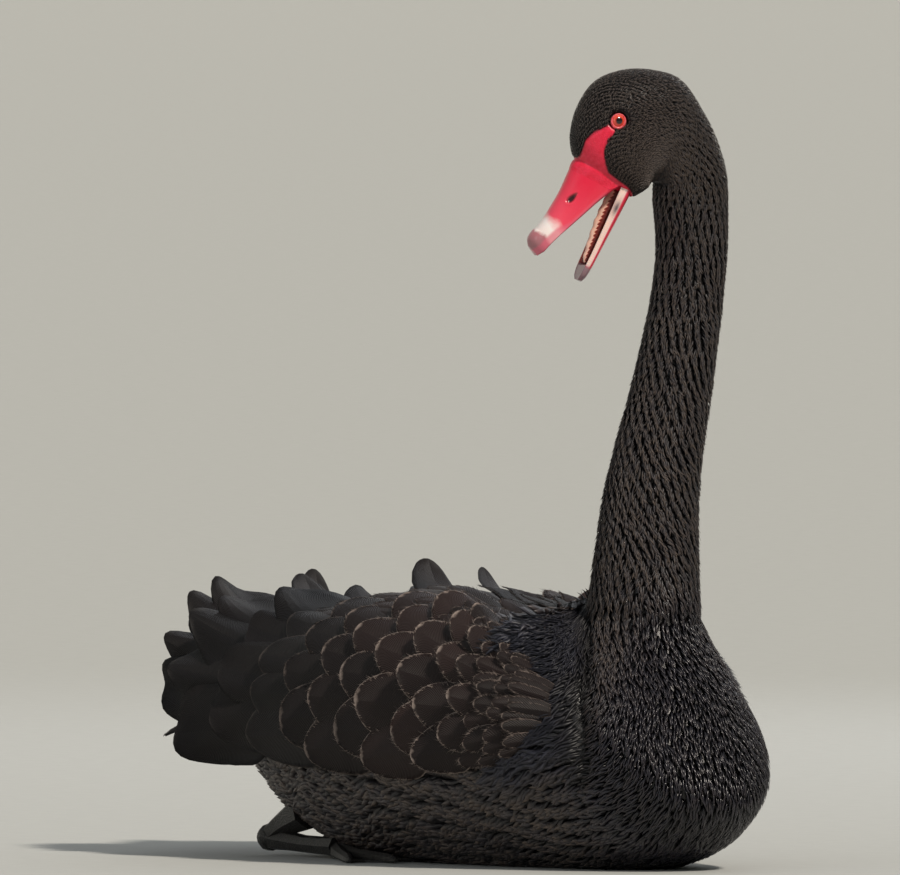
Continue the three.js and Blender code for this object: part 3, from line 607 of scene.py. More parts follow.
def scaled_skin():
    """Legs and feet: dull black-grey skin set with small horny scales."""
    material, tree, shader = new_material("Scaled black leg skin")
    place = put(tree, "TexCoord", "Object")
    # scales of about 2 mm
    cells = {"Vector": place, "Scale": 480.0}
    scales = put(tree, "TexVoronoi", "Distance", cells, feature="DISTANCE_TO_EDGE")
    stops = [(0.0, "#0c0b0b"), (0.16, "#2c2a28"), (1.0, "#393634")]
    colour = put(tree, "ValToRGB", "Color", {"Fac": scales}, stops)
    bump = put(tree, "Bump", "Normal", {"Height": scales, "Strength": 0.6, "Distance": 0.001})
    fill(tree, shader, {"Base Color": colour, "Normal": bump, "Roughness": 0.48})
    return material


def studio_paper():
    """Stage: matt grey paper with a faint grain, so that it throws little light back at the swan."""
    material, tree, shader = new_material("Matt studio paper")
    place = put(tree, "TexCoord", "Object")
    grain = put(tree, "TexNoise", "Fac", {"Vector": place, "Scale": 60.0, "Detail": 3.0})
    colour = put(tree, "ValToRGB", "Color", {"Fac": grain}, [(0.3, "#b4b6b3"), (0.7, "#b8bab7")])
    fill(tree, shader, {"Base Color": colour, "Roughness": 0.9})
    return material


FEATHER = contour_feathers()
VANE = vane_feathers()
SKIN = skin_and_down()
HORN = bill_horn()
MOUTH = mouth_lining()
EYE = wet_eye()
LID = lid_skin()
LEG = scaled_skin()


# Bill: sections as forward, top, edge and half-width, as in the solids
UPPER_BILL = np.array(
    [
        (34, 17, -19.5, 15.5),
        (46, 16.6, -18, 15.2),
        (52, 15.9, -17.5, 15),
        (58, 14.2, -17.2, 14.4),
        (66, 10.8, -17, 13.6),
        (72, 7.9, -17.1, 13.1),
        (80, 4.5, -17.2, 12.7),
        (90, 1.2, -17.2, 12.4),
        (101, -2.2, -17.2, 12.3),
        (109, -3.6, -17.6, 11.6),
        (113, -4, -18.1, 10.7),
        (116.8, -4.8, -18.9, 9.2),
        (119.8, -6.4, -19.6, 6.8),
        (122.4, -10, -19.8, 3.2),
    ]
)
LOWER_BILL = np.array(
    [
        (-6, 5.6, -6.6, 14.2),
        (8, 5, -6.2, 13.8),
        (22, 4.2, -5.8, 12.9),
        (38, 3.4, -5.2, 11.8),
        (52, 2.8, -4.8, 11),
        (60, 2.7, -4.6, 10.4),
        (66, 2.5, -4.3, 9.2),
        (70.4, 2.2, -3.7, 7.2),
        (73.6, 1.6, -2.6, 4),
    ]
)
TONGUE = np.array(
    [
        (2, 8.6, -2.4, 8.6),
        (14, 9.6, -2.4, 9),
        (30, 9, -2, 8),
        (44, 7, -1.8, 6.8),
        (55, 5, -1.2, 5),
        (60, 3.2, -0.6, 2.4),
    ]
)
HINGE = (41.5, -25.2)
GAPE_ANGLE = 23
NOSTRIL = (76.5, -2.2)
NOSTRIL_SLOPE = -4
BILL_SIDE_POWER = 0.9  # powers of the sections' outlines, across and up
UPPER_CROWN = 0.85
LOWER_CROWN = 0.7
NOSTRIL_LONG, NOSTRIL_TALL, NOSTRIL_FLARE = 3.6, 1.5, 0.12  # half sizes, and growth in height forward
NAIL_START = {"upper": 110, "lower": 61}
# Millimetres from one ridge to the next
UPPER_COMB, LOWER_RIDGES, LOWER_COMB, TONGUE_SPINES = 1.6, 1.7, 1.5, 3.1


def from_lower(forward, side, up):
    """A point of the lower bill's frame, which hangs open about the corner of the mouth."""
    turn = math.radians(GAPE_ANGLE)
    return from_head(
        HINGE[0] + forward * math.cos(turn) + up * math.sin(turn),
        side,
        HINGE[1] - forward * math.sin(turn) + up * math.cos(turn),
    )


BILL_TOP, BILL_EDGE, BILL_HALF = (curve(UPPER_BILL[:, 0], UPPER_BILL[:, k]) for k in (1, 2, 3))
COLLAR_RINGS = 8
COLLAR_REACH = 9
COLLAR_SHARE = 1.03  # of the way to the horn's outline, so that the collar ends just inside the horn

# Skin of body, neck and head in one piece, inside the solids by the depth of its coat
EYE_SPOT = (16.2, 21.0)
EYE_SIDE = 20.4
EYE_BALL = 6.6
EYE_CLEAR = 7.0  # radius round the eye's middle that stays free of tufts
EYE_BESIDE = 10  # further than this from the head's middle plane, a point is on an eye's side
SOCKET_RADIUS, SOCKET_SOFT, SOCKET_DEPTH = 8.2, 3.4, 4.5
BARE_SOFT = 0.8  # how far to either side of its outline bare skin gives way to down
BARE_SINK = 0.5
BARE_LIMIT = 0.35  # share of bareness from which no tuft grows
FLANK_RAISE = 2.0
BODY_RINGS, NECK_RINGS, HEAD_RINGS, SKIN_COLUMNS = 130, 80, 130, 168
COAT_DEPTH = curve(
    [0, PLACE[9], PLACE[NECK_STATION], PLACE[HEAD_STATION], PLACE[-6], PLACE[-3], PLACE[-1]],
    [5.0, 4.5, 3.4, 2.6, 1.5, 0.9, 0.6],
)


# Where the breast and the neck's root stand proud of the side feathers: x at heights z
CREASE = curve([40, 84, 125, 161, 191, 215], [234, 238, 224, 205, 184, 168])
CREASE_DEPTH = 3.5
CREASE_WIDTH = 5


def breast_crease(points):
    """One along the crease on the right of the breast, falling to nought a few millimetres beside it. It
    sinks the skin there, and the tufts on it are painted dark as shade.
    """
    x, y, z = points[..., 0], points[..., 1], points[..., 2]
    line = np.exp(-(((x - CREASE(z)) / CREASE_WIDTH) ** 2))
    return line * above(-y, 28, 14) * above(z, 50, 30) * below(z, 206, 20)


def from_eye(points):
    """How far points lie from the eyes' axis, and whether they are on an eye's side of the head."""
    forward, side, up = to_head(points)
    return np.hypot(forward - EYE_SPOT[0], up - EYE_SPOT[1]), np.abs(side) > EYE_BESIDE


def skin_points(place, angle):
    """The flesh sunk by the coat's depth, dented round each eye and along the crease, and raised where it
    is bare and on the flanks."""
    place, angle = np.broadcast_arrays(np.asarray(place, float), np.asarray(angle, float))
    points, normal, _ = flesh_frame(place, angle)
    bare = above(bare_depth(points), -BARE_SOFT, 2 * BARE_SOFT)
    off_axis, beside = from_eye(points)
    socket = below(off_axis, SOCKET_RADIUS, SOCKET_SOFT) * beside
    sink = COAT_DEPTH(place) * (1 - bare) + BARE_SINK * bare + SOCKET_DEPTH * socket
    sink = sink + CREASE_DEPTH * breast_crease(points) - FLANK_RAISE * on_flank(points, angle)
    return points - normal * sink[..., None], bare


def bill_collar(ring):
    """Rings that carry the face's skin on to the bill's horn: each moves the last ring forward and shrinks
    it from its own outline to the horn's section, only above the edge of the bill."""
    forward, side, up = to_head(ring)
    steps = np.linspace(0, 1, COLLAR_RINGS + 1)[1:, None]
    over = above(up - BILL_EDGE(forward), -0.5, 3)
    ahead = forward + COLLAR_REACH * steps * over
    top, edge, half = BILL_TOP(ahead), BILL_EDGE(ahead), BILL_HALF(ahead)
    around = np.arctan2(np.maximum(up - edge, 0) / (top - edge), np.abs(side) / half)
    horn_side = np.sign(side) * half * np.cos(around) ** BILL_SIDE_POWER
    horn_up = edge + (top - edge) * np.sin(around) ** UPPER_CROWN
    share = over * smooth(steps) * COLLAR_SHARE
    return from_head(ahead, lerp(side, horn_side, share), lerp(up, horn_up, share))


def make_skin():
    """A grid of rings from rump to face, closer together on the head, and the collar after it."""
    places = np.concatenate(
        [
            np.linspace(0, PLACE[NECK_STATION], BODY_RINGS, endpoint=False),
            np.linspace(PLACE[NECK_STATION], PLACE[HEAD_STATION], NECK_RINGS, endpoint=False),
            np.linspace(PLACE[HEAD_STATION], PLACE[-1], HEAD_RINGS),
        ]
    )
    rings, bare = skin_points(places[:, None], full_turn(SKIN_COLUMNS)[None, :])
    collar = bill_collar(rings[-1])
    points, triangles = capped(np.concatenate([rings, collar]))
    bare = np.concatenate([bare.ravel(), np.ones(collar.shape[0] * SKIN_COLUMNS), [0.0, 1.0]])
    return mesh_piece("skin", points, triangles, SKIN, {"bare": bare})


# Coat: closed tufts rooted on the skin in staggered rows, each a thin blade that lies towards the tail
SIZE_PLACES = [PLACE[k] for k in (0, 4, 9, 12, 14, NECK_STATION, 20, HEAD_STATION, 28, 31, -1)]
TUFT_LENGTH = curve(SIZE_PLACES, [24, 22, 17, 11.5, 10.5, 11, 9.5, 7.5, 4.4, 3.4, 2.5])
TUFT_WIDTH = curve(SIZE_PLACES, [8.5, 7.5, 5.6, 3.6, 3.3, 4.0, 3.7, 2.6, 1.4, 1.15, 0.95])
TUFT_LIFT = curve(SIZE_PLACES, [3.2, 2.8, 1.4, 0.3, 0.4, 1.3, 1.3, 0.9, 0.45, 0.35, 0.25])
ROW_SPACING = curve(SIZE_PLACES, [4.8, 4.4, 3.8, 2.7, 2.5, 2.7, 2.4, 1.8, 1.15, 0.95, 0.85])
CLUMP_WIDTH = curve(SIZE_PLACES, [26, 26, 20, 12, 9, 7.5, 7, 6, 3.5, 2.6, 2])
CLUMP_PULL = 0.75  # how far the tips of a clump lean together
CLUMP_LENGTH = 1.9  # of a clump, in its widths
LENGTH_DRAW, WIDTH_DRAW, LIFT_DRAW, BROWN_DRAW = (0.8, 1.2), (0.75, 1.15), (0.3, 1.2), (0.35, 1.0)
FLANK_LONGER, FLANK_WIDER, FLANK_LIFT = 0.9, 0.25, 4.0
RIDGE_SHARE = 0.16  # height of a tuft's ridge, in its widths
DEEPEST_ROOT = 3.0
ROOT_SPACING = 0.82  # along a row, in spacings between rows
GIRTH_STEPS = 97
TUFTS_PER_PIECE = 7500
WING_FRONT = {1: 172, -1: 206}  # the left wing is held a little further back
FRONT_SWEEP = 84
FRONT_SPANS = (42, 63)  # degrees over which the front falls back by the sweep, upward and downward
FRONT_LIMIT = 150
FOREMOST = 72  # the angle round the body, from the back, where the wing's bend reaches furthest forward
HIDDEN_LAP = 16  # a root further than this behind the wing's front lies under it
HIDDEN_BACK = -235
HIDDEN_TURN = (14, 90)


def front_lag(angle):
    """How far the wing's front edge falls back from its foremost point, faster upward than downward."""
    away = (angle - FOREMOST) / np.where(angle < FOREMOST, *FRONT_SPANS)
    return np.minimum(FRONT_SWEEP * away**2, FRONT_LIMIT)


def turn_from_back(angle):
    """Degrees between the ridge of the back and an angle round the body, on either side."""
    return np.degrees(np.abs((angle + np.pi) % (2 * np.pi) - np.pi))


def wing_front(angle):
    """Where the folded wing starts over a root, on its own side."""
    front = np.where(np.sin(angle) > 0, WING_FRONT[1], WING_FRONT[-1])
    return front - front_lag(np.clip(turn_from_back(angle), 5, 110))


def rooted_rows(start, end):
    """Places and angles of roots in rows a spacing apart, each row staggered and shaken a little."""
    places, angles = [], []
    at = start
    row = 0
    circle = np.linspace(0, 2 * np.pi, GIRTH_STEPS)
    while at < end:
        spacing = float(ROW_SPACING(at))
        girth = np.linalg.norm(np.diff(flesh(at, circle), axis=0), axis=1)
        count = max(3, int(girth.sum() / (spacing * ROOT_SPACING)))
        # equal steps of girth, not of angle
        share = (np.arange(count) + 0.5 * (row % 2) + rng.uniform(-0.3, 0.3, count)) / count % 1.0
        travelled = np.concatenate([[0], np.cumsum(girth)]) / girth.sum()
        angles.append(np.interp(share, travelled, circle))
        places.append(at + rng.uniform(-0.8, 0.8, count) * spacing)
        at += spacing
        row += 1
    return np.concatenate(places), np.concatenate(angles)


def under_wing(place, angle):
    """Whether a root lies well under a folded wing, where no feather shows."""
    x = flesh(place, angle)[..., 0]
    turn = turn_from_back(angle)
    beneath = (x < wing_front(angle) - HIDDEN_LAP) & (x > HIDDEN_BACK) & (place < PLACE[HIDDEN_STATION])
    return beneath & (turn > HIDDEN_TURN[0]) & (turn < HIDDEN_TURN[1])


def on_flank(points, angle):
    """One on the loose side feathers between the wing's front and the breast, fading to nought around."""
    turn = turn_from_back(angle)
    x, z = points[..., 0], points[..., 2]
    ahead = above(x - wing_front(angle), -34, 20) * below(x, CREASE(z) + 4, 16)
    level = above(z, 40, 25) * below(z, 212, 25)
    return ahead * level * above(turn, 16, 16) * below(turn, 112, 16)


def clump_lean(place, angle, width):
    """Each root's offset across its clump, -0.5 to 0.5, from a staggered grid of clumps on the skin."""
    radius = FIELDS[ASIDE](place)
    row = np.floor(place / (CLUMP_LENGTH * width))
    across = angle * radius / width + 0.5 * (row % 2) + 0.35 * np.sin(2.1 * row)
    return across - np.floor(across) - 0.5


def blade_faces(rows):
    """Triangles of a three-sided blade: left edge, ridge and right edge at each row, closed at both ends."""
    span = np.array([[0, 1, 4], [0, 4, 3], [1, 2, 5], [1, 5, 4], [2, 0, 3], [2, 3, 5]])
    sides = (span[None] + 3 * np.arange(rows - 1)[:, None, None]).reshape(-1, 3)
    last = 3 * (rows - 1)
    return np.concatenate([sides, [[0, 2, 1]], [[last, last + 1, last + 2]]])


def tufts(name, place, angle, rows, pointed):
    """Along t from root to tip and across s from edge to edge, a tuft is root + lie * length * t
    + across * half width * s * outline(t) + normal * (rise from the skin + lift * t squared + ridge)."""
    root, normal, forward = flesh_frame(place, angle)
    skin, bare = skin_points(place, angle)
    off_axis, beside = from_eye(skin)
    keep = (bare < BARE_LIMIT) & ((off_axis > EYE_CLEAR) | ~beside)
    root, normal, forward, skin = root[keep], normal[keep], forward[keep], skin[keep]
    place, angle = place[keep], angle[keep]
    count = len(place)
    flank = on_flank(root, angle)
    shaded = breast_crease(root)
    length = TUFT_LENGTH(place) * rng.uniform(*LENGTH_DRAW, count) * (1 + FLANK_LONGER * flank)
    width = TUFT_WIDTH(place) * rng.uniform(*WIDTH_DRAW, count) * (1 + FLANK_WIDER * flank)
    lean = clump_lean(place, angle, CLUMP_WIDTH(place))
    lift = TUFT_LIFT(place) * rng.uniform(*LIFT_DRAW, count) * (1.4 - 1.6 * np.abs(lean))
    lift = (lift + FLANK_LIFT * flank) * (1 - shaded)
    # tufts turn aside in slow waves along the body; further down, the tips of a clump draw together
    turn = rng.normal(0, 0.1, count) + 0.16 * np.sin(place * 0.11 + 3 * np.sin(angle * 2 + place * 0.03))
    side = unit(np.cross(normal, forward))
    wet = above(root[..., 0], 205, 50) * below(root[..., 2], 240, 60)
    wet = wet * (1 - flank) * (1 - np.minimum(1, 2 * shaded))
    turn = turn - CLUMP_PULL * lean * (1 - 0.5 * flank) * (1 - 0.6 * wet)
    lie = -forward * np.cos(turn)[:, None] + side * np.sin(turn)[:, None]
    across = unit(np.cross(normal, lie))

    def each(values):
        return np.asarray(values)[:, None, None]

    t = np.linspace(0, 1, rows)[None, :, None]
    s = np.array([-1.0, 0.0, 1.0])[None, None, :]
    if pointed:
        outline = (0.4 + 0.6 * smooth(t / 0.3)) * (1 - t) ** 0.8 + 0.01
    else:
        outline = (0.45 + 0.55 * smooth(t / 0.35)) * np.sqrt(np.clip(1 - t**4, 0, 1)) + 0.01
    bow = each(rng.normal(0, 0.1, count)) * t**2
    phase = each(rng.uniform(0, 2 * np.pi, count))
    wave = bow + each(0.05 + 0.06 * flank) * t * np.sin(7 * t + phase)
    depth = each(np.minimum(COAT_DEPTH(place), DEEPEST_ROOT))
    ridge = (1 - np.abs(s)) * RIDGE_SHARE * each(width) * outline
    rise = 0.9 * depth * smooth(t / 0.5) + each(lift) * t**2 + ridge
    sideways = each(width) / 2 * s * outline + each(length) * wave
    points = (
        skin[:, None, None, :]
        + lie[:, None, None, :] * (each(length) * t)[..., None]
        + across[:, None, None, :] * sideways[..., None]
        + normal[:, None, None, :] * rise[..., None]
    )
    points[..., 2] = np.maximum(points[..., 2], CLEAR)
    shape = points.shape[:-1]
    on_head = above(place, PLACE[HEAD_STATION], 12)
    brown = rng.uniform(*BROWN_DRAW, count) * (1 - 0.9 * flank) * (1 - 0.6 * wet) + 0.25 * on_head
    # along pales each tuft towards its tip, partly wear and partly painted highlight
    values = {
        "tone": np.broadcast_to(each(brown), shape),
        # in the breast's crease along is held near the root's dark, as painted shade
        "along": np.broadcast_to(t * each(1 - 0.9 * shaded), shape),
        "wet": np.broadcast_to(each(wet), shape),
    }
    u = np.broadcast_to(each(angle / (2 * np.pi)) + BAKE_PATCH * (s - 1) / 2, shape)
    v = np.broadcast_to(each(place / PLACE[-1]) + BAKE_PATCH * (t - 1), shape)
    uv = np.clip(np.stack([u, v], -1), 0, 1)
    faces = repeat_faces(blade_faces(rows), rows * 3, count)
    return mesh_piece(name, points, faces, FEATHER, values, uv)


def coat_region(name, start, end, rows, pointed):
    """The coat between two places along the body, in pieces of a few thousand tufts."""
    place, angle = rooted_rows(start, end)
    shown = ~under_wing(place, angle)
    place, angle = place[shown], angle[shown]
    pieces = int(np.ceil(len(place) / TUFTS_PER_PIECE))
    split = zip(np.array_split(place, pieces), np.array_split(angle, pieces))
    return [tufts(f"{name}_{k + 1}", *part, rows, pointed) for k, part in enumerate(split)]


# Folded wings: their wrap, as in the solids, with finer and more feathers
WRAP_X = [-345, -315, -280, -240, -190, -120, -40, 40, 110, 165, 205, 240]
WRAP_CENTRE = curve(WRAP_X, [104, 106, 108, 109, 109, 108, 106, 105, 104, 102, 100, 98])
WRAP_TOP = curve(WRAP_X, [128, 143, 160, 173, 182, 187, 198, 202, 195, 186, 180, 168])
WRAP_SIDE = curve(WRAP_X, [44, 54, 68, 88, 107, 122, 130, 131, 127, 120, 111, 99])
WRAP_DOWN = 92
WRAP_WIDEST = 131
WRAP_SQUARE = 2.25
WRAP_GIRTH = 118
WING_SPAN = {"back": -262, "top": 5, "bottom": 103}
# The unwrap that a wing's colours are baked to: x from its start over its length, and the angle's limit
UNWRAP_START, UNWRAP_LENGTH, UNWRAP_ANGLE = -350, 620, 120


def wrap(x, angle, out, hand):
    """The surface that wing feathers lie on: a squared ellipse round the body at each x, grown by `out`."""
    side = WRAP_SIDE(x)
    centre = WRAP_CENTRE(x)
    reach = np.where(np.cos(angle) >= 0, WRAP_TOP(x) - centre, WRAP_DOWN * side / WRAP_WIDEST)
    y = hand * (side + out) * signed_power(np.sin(angle), 2 / WRAP_SQUARE)
    z = centre + (reach + out) * signed_power(np.cos(angle), 2 / WRAP_SQUARE)
    return np.stack(np.broadcast_arrays(x, y, z), -1)


def wing_unwrap(x, angle):
    """Where a root on the wing lies on its unwrap, each way from nought to one."""
    return (x - UNWRAP_START) / UNWRAP_LENGTH, angle / UNWRAP_ANGLE


# Rows of small feathers along the wing's front edge: distance ahead of it, length, width, count
EDGE_ROWS = [(4, 24, 15, 14), (-7, 28, 18, 12), (-19, 34, 23, 10)]
EDGE_ANGLES = (38, 98)
EDGE_SLANT = 16
# Tiers from front to back: x, length, width, first and last angle, count, ruffle, distance that the lowest
# is drawn forward, how far the tier follows the swept front, fringe of pale barbs, fan of its lines
COVERTS = [
    (178, 46, 40, 40, 97, 5, 0, 0, 0.8, 1.0, 16),
    (154, 52, 50, 39, 98, 4, 0, 0, 0.6, 1.0, 15),
    (129, 58, 56, 38, 98, 4, 0, 0, 0.45, 1.0, 13),
    (103, 64, 60, 38, 99, 4, 0, 0, 0.3, 0.9, 11),
    (76, 70, 62, 38, 99, 4, 0, 0, 0.15, 0.8, 9),
    (48, 76, 64, 38, 99, 4, 1, 0, 0, 0.6, 7),
    (19, 82, 66, 37, 98, 4, 3, 0, 0, 0.35, 6),
    (-11, 90, 68, 36, 98, 4, 5, 0, 0, 0.15, 5),
    (-48, 100, 76, 33, 97, 4, 13, 0, 0, 0.0, 5),
    (-104, 106, 84, 25, 96, 4, 20, 6, 0, 0, 5),
    (-160, 98, 80, 21, 92, 4, 22, 14, 0, 0, 4),
]
# Long feathers along the back: x, length, width, first and last angle, count
SCAPULARS = [
    (176, 62, 20, 13, 50, 6),
    (150, 80, 23, 12, 44, 6),
    (118, 96, 26, 12, 38, 5),
    (82, 108, 29, 12, 35, 5),
    (44, 114, 31, 12, 33, 4),
    (6, 114, 34, 12, 31, 4),
    (-34, 108, 38, 12, 28, 3),
    (-74, 100, 40, 11, 24, 3),
]
# Ends that stand up off the back: x, angle, length, width, curl
RAISED = {
    1: [
        (-30, 18, 98, 46, 30),
        (-48, 27, 92, 44, 27),
        (-150, 14, 100, 50, 34),
        (-168, 23, 104, 52, 37),
        (22, 20, 82, 24, 17),
    ],
    -1: [(-128, 30, 100, 60, 16), (-168, 38, 96, 62, 18)],
}
VANE_FIELDS = "x angle length width slant rise curl wave phase end blunt cup corner fringe brown".split()
PLAIN_VANE = {"slant": 0.0, "rise": 3.0, "curl": 3.5, "wave": 0.0, "end": 0.36, "blunt": 0.12, "cup": 3.0}
PLAIN_VANE |= {"corner": 0.0, "fringe": 0.0, "brown": 0.25}
EDGE_VANE = {"curl": 2.0, "fringe": 0.8, "brown": 0.6}
FLAT_COVERT = {"curl": 6.0, "end": 0.5, "blunt": 0.03, "cup": 7.0, "corner": 2.0}
RUFFLED_COVERT = {"end": 0.42, "blunt": 0.06, "cup": 4.0, "corner": 9.0}
FLAT_LIMIT = 5  # ruffle up to which a covert lies flat
SCAPULAR = {"curl": 1.2, "end": 0.6, "blunt": 0.04, "cup": 3.4, "fringe": 0.4, "brown": 0.6}
RAISED_VANE = {"slant": -2, "end": 0.42, "blunt": 0.02, "cup": 2.0}
COVERT_START = 24  # coverts further forward than this behind the wing's front are left to the edge rows
VANE_ROWS, VANE_COLUMNS = 17, 11
VANE_START = 0.14
VANE_THICK = 0.5
SINK = -8.0
QUILL_HEIGHT, QUILL_WIDTH = 0.6, 0.1
FRONT_TUCK = 8.0
UPPER_OVER_LOWER = 1.6  # each vane's upper edge stands this much further out, over the vane above it


def vane_row(draw, **given):
    """One vane's fields with small draws added or shared in, in the order of VANE_FIELDS."""
    shake = draw.uniform(-1, 1, 6)
    row = PLAIN_VANE | {"phase": shake[0]} | given
    row["x"] += 4 * shake[1]
    row["angle"] += 1.6 * shake[2]
    row["length"] *= 1 + 0.05 * shake[3]
    row["slant"] += 3 * shake[4]
    row["curl"] *= 1 + 0.35 * shake[5]
    return [row[name] for name in VANE_FIELDS]


def edge_vanes(draw, hand):
    """Small feathers in rows along the bend of the wing, every other row half a step on."""
    rows = []
    for ahead, length, width, count in EDGE_ROWS:
        for k in range(count):
            angle = lerp(*EDGE_ANGLES, (k + 0.5 * (ahead < 0)) / (count - 0.5))
            place = {"x": WING_FRONT[hand] + ahead - front_lag(angle), "angle": angle}
            slant = lerp(-EDGE_SLANT, EDGE_SLANT, k / (count - 1))
            rows.append(vane_row(draw, **place, length=length, width=width, slant=slant, **EDGE_VANE))
    return rows


def covert_vanes(draw, hand):
    """Tiers of coverts down the wing's side, every other tier half a step on, browner towards the front."""
    rows = []
    for tier, numbers in enumerate(COVERTS):
        x, length, width, first, last, count, ruffle, drawn, swept, fringe, fan = numbers
        if x > WING_FRONT[hand] - COVERT_START:
            continue
        kind = FLAT_COVERT if ruffle <= FLAT_LIMIT else RUFFLED_COVERT | {"curl": ruffle}
        kind = kind | {"length": length, "width": width, "rise": 3.0 + 0.2 * ruffle, "wave": 0.3 * ruffle}
        kind = kind | {"fringe": fringe, "brown": 0.15 + 0.75 * math.exp(-(((x - 130) / 70) ** 2))}
        for k in range(count):
            share = (k + 0.5 * (tier % 2)) / (count - 0.5)
            angle = lerp(first, last, share)
            back = x + drawn * share**2 - swept * front_lag(angle)
            slant = lerp(-1.3 * fan - 2, 0.5 * fan, share)
            rows.append(vane_row(draw, x=back, angle=angle, slant=slant, **kind))
    return rows


def back_vanes(draw, hand):
    """Long feathers along the back, no further forward than the wing's front, and the ends that stand up."""
    rows = []
    for x, length, width, first, last, count in SCAPULARS:
        for k in range(count):
            share = k / (count - 1)
            angle = lerp(first, last, share)
            place = {"x": min(x, WING_FRONT[hand] + 10 - 0.25 * front_lag(angle)), "angle": angle}
            size = {"length": length, "width": width}
            rows.append(vane_row(draw, **place, **size, slant=lerp(-1, 3, share), **SCAPULAR))
    for x, angle, length, width, curl in RAISED[hand]:
        rows.append(vane_row(draw, x=x, angle=angle, length=length, width=width, curl=curl, **RAISED_VANE))
    return rows


def vane_surface(v, t, s, hand, drop=0.0, fray=1.0):
    """A vane's point: along t it runs back from its root, sinks under the tier before it and rises to its
    tip; across s it cups; its end narrows, curls up by t to the fourth, and waves where it is ruffled."""
    taper = np.sqrt(np.clip(1 - (np.clip(t - 1 + v["end"], 0, None) / v["end"]) ** 2, 0, 1))
    outline = lerp(0.5, 1, smooth(t / 0.45)) * np.maximum(taper, v["blunt"]) * fray
    slant = np.radians(v["slant"])
    lateral = s * outline
    down = v["length"] * t * np.sin(slant) + lateral * v["width"] / 2
    x = v["x"] - v["length"] * t * np.cos(slant) + v["corner"] * lateral * t**4
    lift = v["curl"] * t**4 - UPPER_OVER_LOWER * lateral - v["cup"] * lateral**2 * t
    out = lerp(SINK, v["rise"], t) + lift
    out = out + v["wave"] * t**3 * np.sin(np.pi * (1.5 * lateral + v["phase"]))
    out = out + QUILL_HEIGHT * np.exp(-((s / QUILL_WIDTH) ** 2)) * (1 - t) - drop
    angle = np.maximum(np.radians(v["angle"]) + down / WRAP_GIRTH, math.radians(1))
    # the bend of the wing tucks in under the side feathers
    bend = WING_FRONT[hand] - front_lag(np.degrees(angle))
    out = out - FRONT_TUCK * above(x - bend, -30, 34)
    points = wrap(x, angle, out, hand)
    points[..., 1] = hand * np.maximum(hand * points[..., 1], CLEAR)
    return points


def closed_vanes(name, upper, lower, values, u, w):
    """A mesh of closed vanes: an upper and a lower sheet over one grid each, with the same values."""
    points = np.stack([upper, lower], 1)
    count, _, rows, columns, _ = points.shape

    def both(given):
        return np.broadcast_to(np.broadcast_to(given, upper.shape[:-1])[:, None], points.shape[:-1])

    quads = repeat_faces(slab_quads(rows, columns), 2 * rows * columns, count)
    values = {key: both(given) for key, given in values.items()}
    return mesh_piece(name, points, quads, VANE, values, np.stack([both(u), both(w)], -1))


def vane_mesh(name, v, hand):
    """A wing's vanes, each two sheets a feather's thickness apart."""
    count = len(v["x"])
    # rows crowd towards the tip, so that it is round
    t = (1 - (1 - VANE_START) * (1 - np.linspace(0, 1, VANE_ROWS)) ** 1.8)[None, :, None]
    s = np.linspace(-1, 1, VANE_COLUMNS)[None, None, :]
    fray = 1 + 0.012 * rng.normal(0, 1, (count, VANE_ROWS, 1))
    upper, lower = (vane_surface(v, t, s, hand, drop, fray) for drop in (0.0, VANE_THICK))
    values = {
        "tone": v["brown"] * rng.uniform(0.5, 1.2, (count, 1, 1)),
        "edge": np.minimum(1 - np.abs(s), (1 - t) * 1.6 * v["length"] / v["width"]),
        "barb": v["length"] * t - 0.35 * np.abs(s) * v["width"],
        "fringe": v["fringe"],
    }
    u, w = wing_unwrap(v["x"], v["angle"])
    u, w = u + BAKE_PATCH * (s - 1) / 2, w + BAKE_PATCH * (t - 1)
    return closed_vanes(name, upper, lower, values, u, w)


BARBS_PER_VANE = 110
BARB_WIDTH = 0.23
BARB_ROOT = 1.2  # how far inside the outline a barb starts
BARB_LENGTHS = (0.8, 5.6)
FRAYED = 0.15  # fringe from which a vane has loose barbs


def fringe_mesh(name, v, hand):
    """Loose barbs round the worn ends: thin pyramids that leave the outline outwards."""
    worn = v["fringe"][:, 0, 0] > FRAYED
    worn = v["fringe"][:, 0, 0] > 0.15
    v = {key: values[worn] for key, values in v.items()}
    count = int(worn.sum())
    share = rng.uniform(-1, 1, (count, BARBS_PER_VANE, 1))
    s = np.sign(share) * rng.uniform(0.85, 1, share.shape)
    # barbs crowd at the tip and thin out along both sides
    t = 1 - 0.42 * np.abs(share) ** 1.4
    at = vane_surface(v, t, s, hand)
    inside = vane_surface(v, t - 0.12, s * 0.6, hand)
    above = vane_surface(v, t, s, hand, drop=-1.0)
    out = unit(at - inside)
    normal = unit(above - at)
    edge = np.cross(out, normal)
    reach = rng.uniform(*BARB_LENGTHS, share.shape)[..., None] * (0.5 + 0.5 * v["fringe"])[..., None]
    tip = at + out * reach + rng.normal(0, 0.5, at.shape)
    base = at - out * BARB_ROOT
    corners = [base + edge * BARB_WIDTH, base - edge * BARB_WIDTH, base + normal * BARB_WIDTH, tip]
    points = np.stack(corners, -2)
    shape = points.shape[:-1]
    values = {
        "tone": np.broadcast_to(v["brown"][..., None], shape),
        "edge": np.broadcast_to(rng.uniform(0, 0.12, share.shape)[..., None], shape),
        "barb": np.zeros(shape),
        "fringe": np.broadcast_to(v["fringe"][..., None], shape),
    }
    u, w = wing_unwrap(v["x"], v["angle"])
    u = np.broadcast_to((u + BAKE_PATCH * s / 2)[..., None], shape)
    w = np.broadcast_to((w + BAKE_PATCH * (t - 1))[..., None], shape)
    faces = np.array([[0, 1, 2], [0, 3, 1], [1, 3, 2], [2, 3, 0]])
    faces = repeat_faces(faces, 4, count * BARBS_PER_VANE)
    return mesh_piece(name, points, faces, VANE, values, np.stack([u, w], -1))


